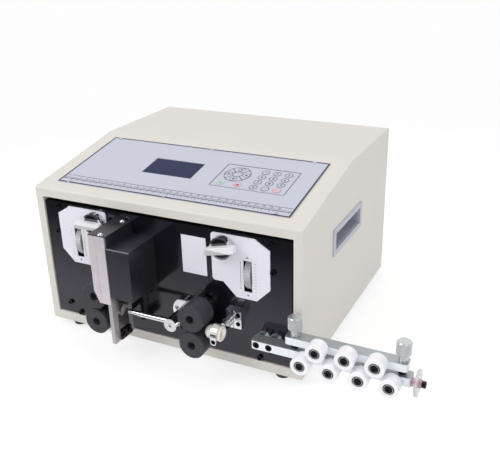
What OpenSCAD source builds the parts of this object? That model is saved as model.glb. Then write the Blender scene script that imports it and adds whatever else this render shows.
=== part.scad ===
/* [Cabinet] */
// Width of the painted steel cabinet
body_w = 384; // [376:1:460]
// Depth from the front rim to the rear panel
body_d = 341; // [320:1:420]
// Height of the front rim above the cabinet underside
front_h = 199; // [197:1:225]
// Height of the flat top above the cabinet underside
top_h = 230; // [228:1:270]
// Run of the sloping control face, front to back
slope_run = 173; // [165:1:200]
// Thickness of the cabinet sheet steel
sheet = 1.5; // [1:0.1:2]
// Width of the rim around the front opening
rim_w = 11; // [8:0.5:12]
// Height of the rubber feet
foot_h = 11; // [6:0.5:25]
// Diameter of the rubber feet
foot_d = 22; // [18:1:36]

/* [Front plate] */
// Thickness of the black front plate
plate_t = 10; // [6:0.5:12]
// How far the plate sits behind the rim face
plate_set = 2; // [1:0.5:4]
// Thickness of the two light adjuster plates
label_t = 1.5; // [1:0.1:2]

/* [Wire path] */
// Height of the wire above the cabinet underside
wire_z = 61.3; // [59:0.1:64]
// How far the wire runs in front of the rim face
wire_out = 31.5; // [30:0.5:34]
// Centre of the inlet rollers from the left side
inlet_x = 257.5; // [255:0.5:262]
// Centre of the outlet rollers from the left side
outlet_x = 115; // [108:0.5:115]

/* [Feed rollers] */
// Diameter of the rubber feed rollers
roller_d = 35; // [30:0.5:36]
// Length of the feed rollers
roller_len = 28; // [22:0.5:28]
// Gap between upper and lower roller at rest
roller_gap = 1.6; // [0.6:0.1:2.4]
// Diameter of the roller shafts
shaft_d = 10; // [8:0.5:11]
// Number of teeth on the paired roller gears
gear_teeth = 18; // [18:2:24]
// Width of the roller gears
gear_w = 10; // [7:0.5:10]
// Lift given by the release lever
lever_lift = 4; // [2:0.5:4]
// Travel of the gap adjustment
gap_travel = 2; // [1:0.25:2]
// Diameter of the release lever disc
lever_d = 29; // [24:0.5:30]
// Diameter of the knurled gap wheel
wheel_d = 48; // [44:0.5:50]

/* [Cutter head] */
// Right face of the bright cutter block from the left side
cutter_x = 148; // [147:0.5:150]
// How far the cutter head stands in front of the rim face
cutter_out = 53; // [52:0.5:58]
// Closing travel of each blade
blade_travel = 9; // [6:0.5:9]
// Thickness of each blade
blade_t = 1.4; // [1:0.1:1.5]
// Number of teeth on the cutter pinion
pinion_teeth = 16; // [14:1:16]
// Tooth module of the cutter pinion and racks
rack_module = 1; // [0.8:0.05:1]

/* [Guides] */
// Outside diameter of the swinging wire tube
tube_d = 7; // [6:0.5:9]
// Bore of the swinging wire tube
tube_bore = 5; // [4.5:0.1:5.5]
// Length of the swinging wire tube
tube_len = 79; // [70:1:80]
// Bore of the ceramic inlet eyelet
eye_bore = 8; // [5:0.5:9]

/* [Straightener] */
// Length of the straightener base bar
bar_len = 194; // [190:1:215]
// Spacing of the rollers in a row
row_pitch = 34.6; // [32:0.2:35]
// Diameter of the white straightener rollers
srl_d = 22.8; // [20:0.2:25]
// Width of the white straightener rollers
srl_w = 17; // [12:0.5:17]
// Height of the upper roller row above the lower row
row_rise = 21.6; // [21:0.2:24]
// Opening travel of the upper bar
bar_travel = 5; // [2:0.5:5]
// Diameter of the knurled thumbscrews
thumb_d = 17; // [14:0.5:20]

/* [Rear and inside] */
// Size of the square cooling fan
fan_size = 80; // [60:1:92]
// Length of each feed motor
motor_len = 56; // [40:1:76]

/* [Hidden] */
$fn = 64;

run = 0.06;
free = 0.35;
wire_y = -wire_out;
slope_a = atan2(top_h - front_h, slope_run);
plate_y0 = plate_set;
plate_y1 = plate_set + plate_t;
label_y = plate_y0 - label_t;
open_x0 = rim_w;
open_x1 = body_w - rim_w;
open_z0 = rim_w + 2;
open_z1 = front_h - rim_w - 1.5;
plate_x0 = open_x0 + 1.2;
plate_x1 = open_x1 - 2.4;
plate_z0 = open_z0 + 1.2;
plate_z1 = open_z1 - 5.4;

axis_gap = roller_d + roller_gap;
upper_z = wire_z + axis_gap / 2;
lower_z = wire_z - axis_gap / 2;
roller_y0 = wire_y - roller_len / 2;
roller_y1 = wire_y + roller_len / 2;
gear_m = axis_gap / gear_teeth;
gear_y0 = plate_y1 + 18;
gear_y1 = gear_y0 + gear_w;
frame_y1 = plate_y1 + 10;
mount_y0 = gear_y0 + 14;
mount_y1 = mount_y0 + 6;
frame_half = 29;
frame_z0 = 13.5;
frame_z1 = 95;
shaft_r = shaft_d / 2;
slide_y0 = plate_y1 + 0.4;
slide_y1 = frame_y1 - 0.4;
carry_half = 13;
carry_z0 = upper_z - 11.3;
carry_z1 = upper_z + 14.4;
yoke_top = carry_z0 - 0.3;
yoke_z0 = yoke_top - 6.2;
yoke_leg_y0 = frame_y1 + 0.4;
yoke_leg_y1 = yoke_leg_y0 + 6;
leg_in = 14;
leg_out = 20;

wheel_r = wheel_d / 2;
wheel_y = plate_y0 - 5 + wheel_r;
wheel_z = open_z1 - 59.3;
wheel_half = 4;
wheel_shaft = 3;
slot_half = 5.6;
slot_h = 41.8;
ecc_r = 5.5;
ecc_e = gap_travel / 2;
ear_in = 6.6;
ear_out = 10.6;

lever_z = open_z1 - 24;
lever_y0 = plate_y0 - 11;
lever_r = lever_d / 2;
lever_hub = 4;
cam_lo = 4.6;
cam_hi = cam_lo + lever_lift - 0.4;
cam_y0 = plate_y1 + 1.5;
cam_y1 = cam_y0 + 6;
arm_z0 = lever_z + cam_lo + 0.5;
arm_z1 = arm_z0 + 4;

in_lever_x = inlet_x + 25.5;
out_lever_x = outlet_x - 19.5;
in_wheel_x = inlet_x + 56.3;
out_wheel_x = outlet_x - 52.2;

head_y0 = -cutter_out;
head_x0 = cutter_x - 24;
head_seam = cutter_x - 14;
head_z0 = 78.5;
head_z1 = 171;
guard_x0 = cutter_x + 1;
guard_x1 = cutter_x + 34;
guard_z0 = 89;
guard_z1 = 156.5;
guard_t = 1.2;
pin_x = cutter_x + 18;
pin_z = 125;
pin_r = pinion_teeth * rack_module / 2;
back_y = -8;
rack_y0 = -21;
rack_y1 = back_y - 2.5;
pinion_y0 = -20.5;
pinion_y1 = back_y - 2;
strip_x0 = cutter_x - 6;
strip_x1 = cutter_x - 0.5;
strip_y0 = head_y0 + 2;
strip_y1 = -11;
blade_lx0 = strip_x1;
blade_lx1 = blade_lx0 + blade_t;
blade_ux0 = blade_lx1 + 0.3;
blade_ux1 = blade_ux0 + blade_t;
clamp_x1 = blade_lx1 + 2.6;
screw_lz = 28.5;
hold_x1 = blade_ux1 + 6.4;

swing_x = inlet_x - 32;
swing_r = 8.8;
tube_x0 = swing_x - tube_len + 12.5;
tube_x1 = swing_x + 12.5;
eye_x1 = inlet_x + 37;
eye_x0 = eye_x1 - 21;
ring_x0 = eye_x1 - 11;
ring_x1 = eye_x1 - 3;
ring_r = 12.6;
rod_x = ring_x0 + 4;
rod_z = wire_z + 3;
rod_r = 3.3;

low_z = wire_z - 13.3;
up_z = low_z + row_rise;
srl_y0 = wire_y - srl_w / 2;
srl_y1 = wire_y + srl_w / 2;
bar_y0 = srl_y1 + 1;
bar_y1 = bar_y0 + 16;
base_x0 = inlet_x + 69;
base_x1 = base_x0 + bar_len;
base_z0 = low_z - 3.4;
base_z1 = low_z + 7.8;
slide_z0 = up_z - 7.4;
slide_z1 = up_z + 2.4;
slide_x1 = base_x1 - 5;
bar_mid = (bar_y0 + bar_y1) / 2;
first_l = base_x1 - 20.2 - 3 * row_pitch;
first_u = first_l + row_pitch / 2 + 0.6;
thumb_x1 = first_l - 15.5;
slide_x0 = thumb_x1 - 10.5;
thumb_x2 = slide_x1 - 7;
post_x1 = base_x0 + 7;
post_x2 = base_x0 + 23.5;
bar_cz = (base_z0 + base_z1) / 2;
disc_x0 = base_x1 + 5;
disc_x1 = disc_x0 + 3;
disc_r = 15.3;
disc_y = bar_y0 + 4;
last_x = disc_x1 + 7.5;

fan_x = 92;
fan_z = 118;
fan_half = fan_size / 2;
panel_t = 2;
rear_y0 = body_d - panel_t;
inlet_cx = 300;
inlet_cz = 60;
rear_out = 3;
handle_t = 1.6;

x_min = -handle_t;
x_max = last_x;
y_min = head_y0;
y_max = body_d + rear_out;
shift_x = (x_min + x_max) / 2;
shift_y = (y_min + y_max) / 2;
shift_z = foot_h;

module placed() translate([-shift_x, -shift_y, shift_z]) children();

module box(x0, x1, y0, y1, z0, z1) translate([x0, y0, z0]) cube([x1 - x0, y1 - y0, z1 - z0]);

module cyl_x(y, z, x0, x1, r) translate([x0, y, z]) rotate([0, 90, 0]) cylinder(h = x1 - x0, r = r);

module cyl_y(x, z, y0, y1, r) translate([x, y0, z]) rotate([-90, 0, 0]) cylinder(h = y1 - y0, r = r);

module cyl_z(x, y, z0, z1, r) translate([x, y, z0]) cylinder(h = z1 - z0, r = r);

module plate_xz(y0, y1) translate([0, y1, 0]) rotate([90, 0, 0]) linear_extrude(y1 - y0) children();

module plate_yz(x0, x1) translate([x0, 0, 0]) rotate([90, 0, 90]) linear_extrude(x1 - x0) children();

module hex_y(x, z, y0, y1, across) translate([x, y0, z]) rotate([-90, 0, 0])
  cylinder(h = y1 - y0, r = across / 2 / cos(30), $fn = 6);

module hex_x(y, z, x0, x1, across) translate([x0, y, z]) rotate([0, 90, 0])
  cylinder(h = x1 - x0, r = across / 2 / cos(30), $fn = 6);

module round_rect(w, h, r) {
  square([w - 2 * r, h], center = true);
  square([w, h - 2 * r], center = true);
  for (sx = [-1, 1], sy = [-1, 1]) translate([sx * (w / 2 - r), sy * (h / 2 - r)]) circle(r);
}

function unit(v) = v / norm(v);

module round_poly(p, r) {
  n = len(p);
  polygon([for (i = [0 : n - 1]) let (
      a = unit(p[(i + n - 1) % n] - p[i]),
      b = unit(p[(i + 1) % n] - p[i]),
      half = acos(a * b) / 2,
      c = p[i] + unit(a + b) * r[i] / sin(half),
      u = p[i] + a * r[i] / tan(half) - c,
      v = p[i] + b * r[i] / tan(half) - c,
      a0 = atan2(u[1], u[0]),
      turn = ((atan2(v[1], v[0]) - a0 + 540) % 360) - 180)
    each r[i] < 0.05 ? [p[i]] : [for (k = [0 : 8])
      c + r[i] * [cos(a0 + turn * k / 8), sin(a0 + turn * k / 8)]]]);
}

function spread(rb, rho) = let (t = sqrt(max(0, pow(rho / rb, 2) - 1))) t * 180 / PI - atan(t);

function polar(rho, a) = [rho * cos(a), rho * sin(a)];

module spur(teeth, m, slack) {
  r = teeth * m / 2;
  rb = r * cos(20);
  ra = r + 0.9 * m;
  rf = r - 1.2 * m;
  rm = (max(rb, rf) + ra) / 2;
  ha = (PI * m / 2 - slack) / 2 / r * 180 / PI + spread(rb, r);
  hb = ha - spread(rb, max(rb, rf));
  hr = ha - spread(rb, r);
  hm = ha - spread(rb, rm + 0.2 * m);
  hq = ha - spread(rb, ra);
  polygon([for (k = [0 : teeth - 1]) let (c = k * 360 / teeth) each [
    polar(rf, c - hb), polar(max(rb, rf + 0.01), c - hb), polar(r, c - hr),
    polar(rm + 0.2 * m, c - hm), polar(ra, c - hq),
    polar(ra, c + hq), polar(rm + 0.2 * m, c + hm), polar(r, c + hr),
    polar(max(rb, rf + 0.01), c + hb), polar(rf, c + hb)]]);
}

module knurl(r, ridges, depth) polygon([for (k = [0 : 2 * ridges - 1])
  polar(k % 2 == 0 ? r : r - depth, k * 180 / ridges)]);

module socket_y(x, z, y, r, h, shank, len) {
  difference() {
    cyl_y(x, z, y, y + h, r);
    hex_y(x, z, y - 1, y + h * 0.6, r);
  }
  cyl_y(x, z, y + h, y + h + len, shank);
}

module socket_x(y, z, x, r, h, shank, len) {
  difference() {
    cyl_x(y, z, x - h, x, r);
    hex_x(y, z, x - h * 0.6, x + 1, r);
  }
  cyl_x(y, z, x - h - len, x - h, shank);
}

side_profile = [[0, 0], [0, front_h], [slope_run, top_h], [body_d, top_h], [body_d, 0]];
side_radii = [0, 3, 6, 3, 0];
inner_profile = [[sheet, -1], [sheet, front_h - sheet * 1.1], [slope_run, top_h - sheet],
  [body_d - panel_t - sheet, top_h - sheet], [body_d - panel_t - sheet, -1]];

handle_y = 159;
handle_z = 140;
handle_w = 114;
handle_h = 37.5;

module in_slope() translate([0, 0, front_h]) rotate([slope_a, 0, 0]) children();

lcd_u = 161;
lcd_v = 93;
lcd_w = 73.5;
lcd_h = 39.5;
film_u0 = 22;
film_u1 = body_w - 23.5;
film_v0 = 20;
film_v1 = 157.5;

rear_screw_x = [14, body_w / 2, body_w - 14];
rear_screw_z = [16, 112, top_h - 14];

module cabinet_shell() placed() color([0.93, 0.91, 0.84]) difference() {
  union() {
    difference() {
      plate_yz(0, body_w) round_poly(side_profile, side_radii);
      difference() {
        plate_yz(sheet, body_w - sheet) polygon(inner_profile);
        box(open_x0 - sheet, open_x0, -1, 11, open_z0 - sheet, open_z1 + sheet);
        box(open_x1, open_x1 + sheet, -1, 11, open_z0 - sheet, open_z1 + sheet);
        box(open_x0, open_x1, -1, 11, open_z0 - sheet, open_z0);
        box(open_x0, open_x1, -1, 11, open_z1, open_z1 + sheet);
      }
    }
  }
  box(open_x0, open_x1, -1, sheet + 0.1, open_z0, open_z1);
  box(sheet, body_w - sheet, rear_y0, body_d + 1, -1, top_h - sheet);
  box(13, body_w - 13, body_d - 8, body_d + 1, 13, top_h - 13);
  box(sheet, body_w - sheet, sheet, rear_y0 + 1, -1, 0.01);
  for (x = [-1, body_w - sheet - 1]) translate([x, handle_y, handle_z]) rotate([90, 0, 90])
    linear_extrude(sheet + 2) square([handle_w - 12, handle_h - 11], center = true);
  in_slope() {
    box(lcd_u - lcd_w / 2 - 2, lcd_u + lcd_w / 2 + 2, lcd_v - lcd_h / 2 - 2, lcd_v + lcd_h / 2 + 2, -5, 3);
    box(335, 350, 75, 115, -5, 3);
    for (p = film_screw_at) cyl_z(p[0], p[1], -5, 3, 1.6);
  }
  for (x = rear_screw_x, z = rear_screw_z) cyl_y(x, z, body_d - 9, body_d + 1, 1.7);
  for (x = [-1, body_w - sheet - 1], y = [40, body_d - 50]) cyl_x(y, 9, x, x + sheet + 2, 2.1);
}

post_in = 24;
module base_pan() placed() color([0.72, 0.73, 0.74]) {
  difference() {
    union() {
      box(sheet + 0.1, body_w - sheet - 0.1, sheet + 0.1, rear_y0 - sheet - 0.1, 0, 2);
      for (x = [sheet + 0.1, body_w - sheet - 1.9])
        box(x, x + 1.8, sheet + 0.1, rear_y0 - sheet - 0.1, 1, 14);
      box(sheet + 0.1, body_w - sheet - 0.1, rear_y0 - sheet - 1.9, rear_y0 - sheet - 0.1, 1, 12);
      box(post_in, post_in + 18, plate_y1, plate_y1 + 14, 1, plate_z1 - 1);
      box(body_w - post_in - 25, body_w - post_in - 7, plate_y1, plate_y1 + 14, 1, plate_z1 - 1);
      box(post_in, post_in + 32, plate_y1, plate_y1 + 12, 1, 24);
      box(body_w - post_in - 40, body_w - post_in - 7, plate_y1, plate_y1 + 12, 1, 24);
    }
    for (p = plate_screw_at) cyl_y(p[0], p[1], plate_y1 - 1, plate_y1 + 9, 2.6);
    for (p = foot_at) cyl_z(p[0], p[1], -1, 3, 2.6);
    for (x = [0, 1], y = [40, body_d - 50]) cyl_x(y, 9, x * body_w - 8 * x - 1, x * body_w - 8 * x + 9, 1.6);
    for (i = [0 : 9]) translate([80 + i * 22, 190, -1]) linear_extrude(4) round_rect(6, 70, 2.8);
  }
}

plate_screw_at = [[34, open_z1 - 11], [body_w - 40, open_z1 - 11], [29.8, open_z1 - 47.5],
  [body_w - 37, open_z1 - 47.5],
  [33, 30], [body_w - 40, 30], [49, 17.3], [body_w - 56.5, 17.3]];

module front_plate() placed() color([0.11, 0.11, 0.13]) difference() {
  box(plate_x0, plate_x1, plate_y0, plate_y1, plate_z0, plate_z1);
  for (x = [inlet_x, outlet_x]) {
    cyl_y(x, lower_z, plate_y0 - 1, plate_y1 + 1, shaft_r + 0.45);
    cyl_y(x, upper_z, plate_y0 - 1, plate_y1 + 1, shaft_r + 0.45);
    cyl_y(x, upper_z + lever_lift + gap_travel, plate_y0 - 1, plate_y1 + 1, shaft_r + 0.45);
    box(x - shaft_r - 0.45, x + shaft_r + 0.45, plate_y0 - 1, plate_y1 + 1, upper_z,
      upper_z + lever_lift + gap_travel);
  }
  for (x = [in_wheel_x, out_wheel_x])
    union() {
      box(x - slot_half, x + slot_half, plate_y0 - 1, plate_y1 + 1, wheel_z - slot_h / 2,
        wheel_z + slot_h / 2);
      cyl_x(wheel_y, wheel_z, x - slot_half, x + slot_half, wheel_r + 0.5);
    }
  for (x = [in_lever_x, out_lever_x]) cyl_y(x, lever_z, plate_y0 - 1, plate_y1 + 1, lever_hub + run);
  cyl_y(swing_x, wire_z, plate_y0 - 1, plate_y1 + 1, 6 + run);
  cyl_y(pin_x, pin_z, plate_y0 - 1, plate_y1 + 1, 8);
  for (p = plate_screw_at) cyl_y(p[0], p[1], plate_y0 - 1, plate_y1 + 1, 2.6);
  for (x = [post_x1, post_x2]) if (x < plate_x1 - 4) cyl_y(x, bar_cz, plate_y0 - 1, plate_y0 + 8, 2.6);
}

module case_screws() placed() color([0.09, 0.09, 0.1]) {
  for (p = plate_screw_at) socket_y(p[0], p[1], plate_y0 - 3, 3.4, 3, 2.5, plate_t + 8);
  for (x = rear_screw_x, z = rear_screw_z) mirror([0, 1, 0]) translate([0, -2 * body_d, 0])
    socket_y(x, z, body_d - 2, 3, 2, 1.6, 5);
}

foot_at = [for (x = [32, body_w - 32], y = [18, body_d - 34]) [x, y]];

module feet() placed() color([0.07, 0.07, 0.07]) {
  for (p = foot_at) difference() {
    union() {
      translate([p[0], p[1], -foot_h]) cylinder(h = foot_h, r1 = foot_d / 2 - 1.5, r2 = foot_d / 2);
      cyl_z(p[0], p[1], -1, 2, 2.5);
    }
    cyl_z(p[0], p[1], -foot_h - 1, -foot_h + 3, 5);
  }
}

key_rows = [112.4, 99.4, 86.6, 73.4];
key_cols = [288.4, 304.4, 320.4];

module keypad_overlay() placed() in_slope() color([0.78, 0.79, 0.88]) difference() {
  union() {
    translate([(film_u0 + film_u1) / 2, (film_v0 + film_v1) / 2, 0])
      linear_extrude(0.8) round_rect(film_u1 - film_u0, film_v1 - film_v0, 2);
    for (u = key_cols, v = key_rows) cyl_z(u, v, 0.5, 1.2, 5.3);
    for (u = [242.5, 266.6]) cyl_z(u, 73.2, 0.5, 1.2, 5.3);
    for (a = [0 : 90 : 270]) translate([254.3, 98.8, 0.5]) linear_extrude(0.7) intersection() {
      difference() {
        circle(18);
        circle(7);
      }
      rotate(a) polygon([[1.2, 0], [20, 18.8], [20, -18.8]]);
    }
    cyl_z(254.3, 98.8, 0.5, 1.2, 5);
    translate([281.5, 93.8, 0.5]) linear_extrude(0.5) difference() {
      round_rect(105, 59.6, 2);
      round_rect(104, 58.6, 1.6);
    }
  }
  translate([lcd_u, lcd_v, -1]) linear_extrude(4) round_rect(lcd_w, lcd_h, 1.2);
  for (p = film_screw_at) cyl_z(p[0], p[1], -1, 3, 1.6);
}

film_screw_at = [[40, 22.8], [189, 23.2], [body_w - 43, 25], [body_w - 44.4, 153.5], [187.8, 154.5],
  [34.6, 153.5]];

module lcd_window() placed() in_slope() color([0.1, 0.13, 0.3]) {
  translate([lcd_u, lcd_v, -4.9]) linear_extrude(5.6) round_rect(lcd_w - 0.4, lcd_h - 0.4, 1);
  box(lcd_u - 46, lcd_u + 46, lcd_v - 30, lcd_v + 30, -6.6, -4.9);
}

module cover_screws() placed() color([0.8, 0.8, 0.82]) {
  in_slope() for (p = film_screw_at) {
    difference() {
      cyl_z(p[0], p[1], 0.85, 2, 2.6);
      box(p[0] - 2.2, p[0] + 2.2, p[1] - 0.35, p[1] + 0.35, 1.5, 3);
      box(p[0] - 0.35, p[0] + 0.35, p[1] - 2.2, p[1] + 2.2, 1.5, 3);
    }
    cyl_z(p[0], p[1], 0.2 - sheet, 0.85, 1.5);
  }
  for (y = [head_y0 + 4.2, -2.8]) {
    intersection() {
      translate([cutter_x - 7.5, y, head_z1 + guard_t - 1.4]) sphere(4);
      cyl_z(cutter_x - 7.5, y, head_z1 + guard_t, head_z1 + 6, 3.8);
    }
    cyl_z(cutter_x - 7.5, y, head_z1 - 7, head_z1 + guard_t + 0.5, 2);
  }
}

module handle_cup() {
  difference() {
    union() {
      translate([0, handle_y, handle_z]) rotate([90, 0, 90]) linear_extrude(handle_t)
        round_rect(handle_w, handle_h, 3);
      translate([-26, handle_y, handle_z]) rotate([90, 0, 90]) linear_extrude(27)
        square([handle_w - 13, handle_h - 12], center = true);
    }
    translate([-24.5, handle_y, handle_z]) rotate([90, 0, 90]) linear_extrude(28)
      square([handle_w - 16, handle_h - 15], center = true);
  }
}

module side_handles() placed() color([0.74, 0.75, 0.79]) {
  translate([body_w, 0, 0]) handle_cup();
  mirror([1, 0, 0]) handle_cup();
}

module rear_panel() placed() color([0.9, 0.88, 0.81]) difference() {
  box(sheet + 0.15, body_w - sheet - 0.15, rear_y0, body_d, 0.2, top_h - sheet - 0.15);
  cyl_y(fan_x, fan_z, rear_y0 - 1, body_d + 1, fan_half - 2);
  for (sx = [-1, 1], sz = [-1, 1])
    cyl_y(fan_x + sx * (fan_half - 4.25), fan_z + sz * (fan_half - 4.25), rear_y0 - 1, body_d + 1, 2.2);
  box(inlet_cx - 24, inlet_cx + 24, rear_y0 - 1, body_d + 1, inlet_cz - 14, inlet_cz + 14);
  box(inlet_cx - 14, inlet_cx + 14, rear_y0 - 1, body_d + 1, inlet_cz + 20, inlet_cz + 42);
  for (i = [0 : 11]) plate_xz(rear_y0 - 1, body_d + 1) translate([200 + i * 12, 165]) round_rect(4, 46, 1.8);
  for (x = rear_screw_x, z = rear_screw_z) cyl_y(x, z, rear_y0 - 1, body_d + 1, 1.7);
}

module fan_frame() placed() color([0.1, 0.1, 0.11]) {
  difference() {
    plate_xz(rear_y0 - 25, rear_y0) translate([fan_x, fan_z]) round_rect(fan_size, fan_size, 4);
    cyl_y(fan_x, fan_z, rear_y0 - 26, rear_y0 + 1, fan_half - 2);
    for (sx = [-1, 1], sz = [-1, 1])
      cyl_y(fan_x + sx * (fan_half - 4.25), fan_z + sz * (fan_half - 4.25), rear_y0 - 26, rear_y0 + 1, 2.15);
  }
  for (a = [30, 150, 270]) translate([fan_x, rear_y0 - 25, fan_z]) rotate([0, a, 0])
    translate([15, 0, -2.5]) cube([fan_half - 16.5, 3, 5]);
  cyl_y(fan_x, fan_z, rear_y0 - 25, rear_y0 - 22, 16);
  cyl_y(fan_x, fan_z, rear_y0 - 22.1, rear_y0 - 6, 2.5);
  difference() {
    union() {
      for (r = [8, 16, 24, 32, fan_half - 1]) if (r < fan_half) translate([fan_x, body_d + 1, fan_z])
        rotate([90, 0, 0]) rotate_extrude() translate([r, 0]) circle(0.9, $fn = 16);
      for (a = [45, 135]) translate([fan_x, body_d + 2, fan_z]) rotate([0, a, 0])
        translate([-fan_half * 1.28, 0, 0]) rotate([0, 90, 0])
          cylinder(h = fan_half * 2.56, r = 0.9, $fn = 16);
    }
  }
  for (sx = [-1, 1], sz = [-1, 1]) {
    cyl_y(fan_x + sx * (fan_half - 4.25), fan_z + sz * (fan_half - 4.25), rear_y0 - 12, body_d + 0.1, 2.05);
    cyl_y(fan_x + sx * (fan_half - 4.25), fan_z + sz * (fan_half - 4.25), body_d, body_d + 2.6, 3.6);
  }
}

module fan_rotor() placed() color([0.14, 0.14, 0.15]) difference() {
  union() {
    cyl_y(fan_x, fan_z, rear_y0 - 20.5, rear_y0 - 3, 17);
    for (i = [0 : 6]) translate([fan_x, 0, fan_z]) rotate([0, i * 360 / 7, 0])
      translate([15, rear_y0 - 12, 0]) rotate([38, 0, 0]) translate([0, -9, -0.8])
        cube([fan_half - 18.5, 17, 1.6]);
  }
  cyl_y(fan_x, fan_z, rear_y0 - 22, rear_y0 - 5.5, 2.5 + run);
}

module power_inlet() placed() color([0.08, 0.08, 0.09]) {
  difference() {
    union() {
      plate_xz(body_d, body_d + 2.4) translate([inlet_cx, inlet_cz + 14.5]) round_rect(56, 70, 3);
      box(inlet_cx - 23.8, inlet_cx + 23.8, rear_y0 - 22, body_d + 0.5, inlet_cz - 13.8, inlet_cz + 13.8);
      box(inlet_cx - 13.8, inlet_cx + 13.8, rear_y0 - 16, body_d + 0.5, inlet_cz + 20.2, inlet_cz + 41.8);
    }
    box(inlet_cx - 12, inlet_cx + 12, rear_y0 - 14, body_d + 3, inlet_cz - 8.3, inlet_cz + 8.3);
    box(inlet_cx - 11.3, inlet_cx + 11.3, rear_y0 - 12, body_d + 3, inlet_cz + 22.5, inlet_cz + 39.5);
  }
  for (p = [[-7, -2], [7, -2], [0, 2.5]])
    box(inlet_cx + p[0] - 1, inlet_cx + p[0] + 1, rear_y0 - 15, rear_y0 - 4, inlet_cz + p[1] - 2,
      inlet_cz + p[1] + 2);
  for (x = [-11.4, 9.4]) cyl_x(body_d - 4, inlet_cz + 31, inlet_cx + x, inlet_cx + x + 2, 1.5);
}

rocker_y = body_d - 4;
rocker_z = inlet_cz + 31;
module power_switch() placed() color([0.6, 0.06, 0.05]) difference() {
  translate([0, rocker_y, rocker_z]) rotate([4, 0, 0]) translate([0, -rocker_y, -rocker_z]) union() {
    plate_yz(inlet_cx - 10.9, inlet_cx + 10.9) polygon([[rocker_y - 5, rocker_z - 4.5],
      [rocker_y - 5, rocker_z + 4.5], [rocker_y + 4.2, rocker_z + 7.9], [rocker_y + 6.5, rocker_z + 7.6],
      [rocker_y + 5.2, rocker_z], [rocker_y + 6.5, rocker_z - 7.6], [rocker_y + 4.2, rocker_z - 7.9]]);
  }
  cyl_x(rocker_y, rocker_z, inlet_cx - 12, inlet_cx + 12, 1.5 + run);
}

supply_x = 34;
supply_y = body_d - 136;
board_x = body_w - 98;
board_y = mount_y1 + motor_len + 14;

module power_supply() placed() color([0.7, 0.71, 0.72]) {
  difference() {
    box(supply_x, supply_x + 200, supply_y, supply_y + 98, 14, 64);
    box(supply_x + 1.5, supply_x + 198.5, supply_y + 1.5, supply_y + 96.5, 15.5, 62.5);
    for (i = [0 : 11], j = [0 : 3]) cyl_z(supply_x + 26 + i * 13, supply_y + 17 + j * 20, 60, 66, 3);
    box(supply_x - 1, supply_x + 3, supply_y + 5, supply_y + 93, 34, 60);
  }
  for (x = [15, 185], y = [10, 88]) cyl_z(supply_x + x, supply_y + y, 2, 14.5, 4);
  box(supply_x + 4, supply_x + 14, supply_y + 7, supply_y + 91, 16, 30);
  box(supply_x + 50, supply_x + 90, supply_y + 20, supply_y + 60, 15, 50);
  cyl_z(supply_x + 130, supply_y + 40, 15, 48, 15);
  cyl_z(supply_x + 165, supply_y + 40, 15, 44, 11);
}

module control_board() placed() color([0.05, 0.3, 0.16]) translate([board_x, board_y, 0]) {
  box(0, 80, 0, 130, 12, 13.6);
  for (x = [5, 75], y = [5, 125]) cyl_z(x, y, 2, 12.3, 3);
  box(10, 24, 20, 34, 13.5, 16);
  box(32, 59, 20, 56, 13.5, 38);
  box(6, 74, 66, 70, 13.5, 24);
  cyl_z(14, 90, 13.5, 33, 8);
  cyl_z(36, 90, 13.5, 33, 8);
  box(49, 74, 80, 120, 13.5, 26);
  box(6, 70, 116, 122, 13.5, 22);
}

module gap_shape() {
  difference() {
    union() {
      polygon([[0, 22], [0, 77.5], [4, 81.5], [57.5, 81.5], [77.5, 69.5], [77.5, 18], [60, 0.2],
        [32.5, 0.2], [14.8, 18], [4, 18]]);
      translate([4, 77.5]) circle(4);
      translate([4, 22]) circle(4);
      translate([57.5, 77.5]) circle(4);
    }
    translate([48.3, 30.7]) square([2 * slot_half, slot_h], center = true);
    translate([17.5, 66]) circle(lever_hub + 0.4);
  }
}

module gap_plates() placed() color([0.85, 0.85, 0.92]) {
  plate_xz(label_y, plate_y0) translate([in_wheel_x - 48.3, wheel_z - 30.7]) difference() {
    gap_shape();
    translate([in_lever_x - in_wheel_x + 48.3, lever_z - wheel_z + 30.7]) circle(lever_hub + 0.4);
  }
  plate_xz(label_y, plate_y0) translate([out_wheel_x + 48.3, wheel_z - 30.7]) mirror([1, 0]) difference() {
    gap_shape();
    translate([out_wheel_x - out_lever_x + 48.3, lever_z - wheel_z + 30.7]) circle(lever_hub + 0.4);
  }
}

module feed_frame(x, wx) {
  difference() {
    union() {
      box(x - frame_half, x + frame_half, plate_y1, frame_y1, frame_z0, frame_z1);
      box(x - frame_half, x - frame_half + 4, plate_y1, mount_y1, frame_z0, frame_z1);
      box(x + frame_half - 4, x + frame_half, plate_y1, mount_y1, frame_z0, frame_z1);
      box(x - frame_half, x + frame_half, mount_y0, mount_y1, frame_z0, lower_z + 30);
    }
    box(x - carry_half - run, x + carry_half + run, plate_y1 - 1, frame_y1 + 1, yoke_z0 - 1, frame_z1 + 1);
    cyl_y(x, lower_z, plate_y1 - 1, frame_y1 + 1, shaft_r + run);
    cyl_y(x, lower_z, mount_y0 - 1, mount_y1 + 1, 19.2);
    cyl_y(x - inlet_x + swing_x, wire_z, plate_y1 - 1, plate_y1 + 12, 9.8);
  }
  for (sx = [-1, 1]) difference() {
    box(wx + sx * (ear_in + ear_out) / 2 - 2, wx + sx * (ear_in + ear_out) / 2 + 2, plate_y1, wheel_y + 8,
      wheel_z - 9, wheel_z + 9);
    cyl_x(wheel_y, wheel_z, wx - 20, wx + 20, wheel_shaft + run);
  }
}

module feed_frames() placed() color([0.66, 0.67, 0.69]) {
  feed_frame(inlet_x, in_wheel_x);
  feed_frame(outlet_x, out_wheel_x);
}

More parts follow.
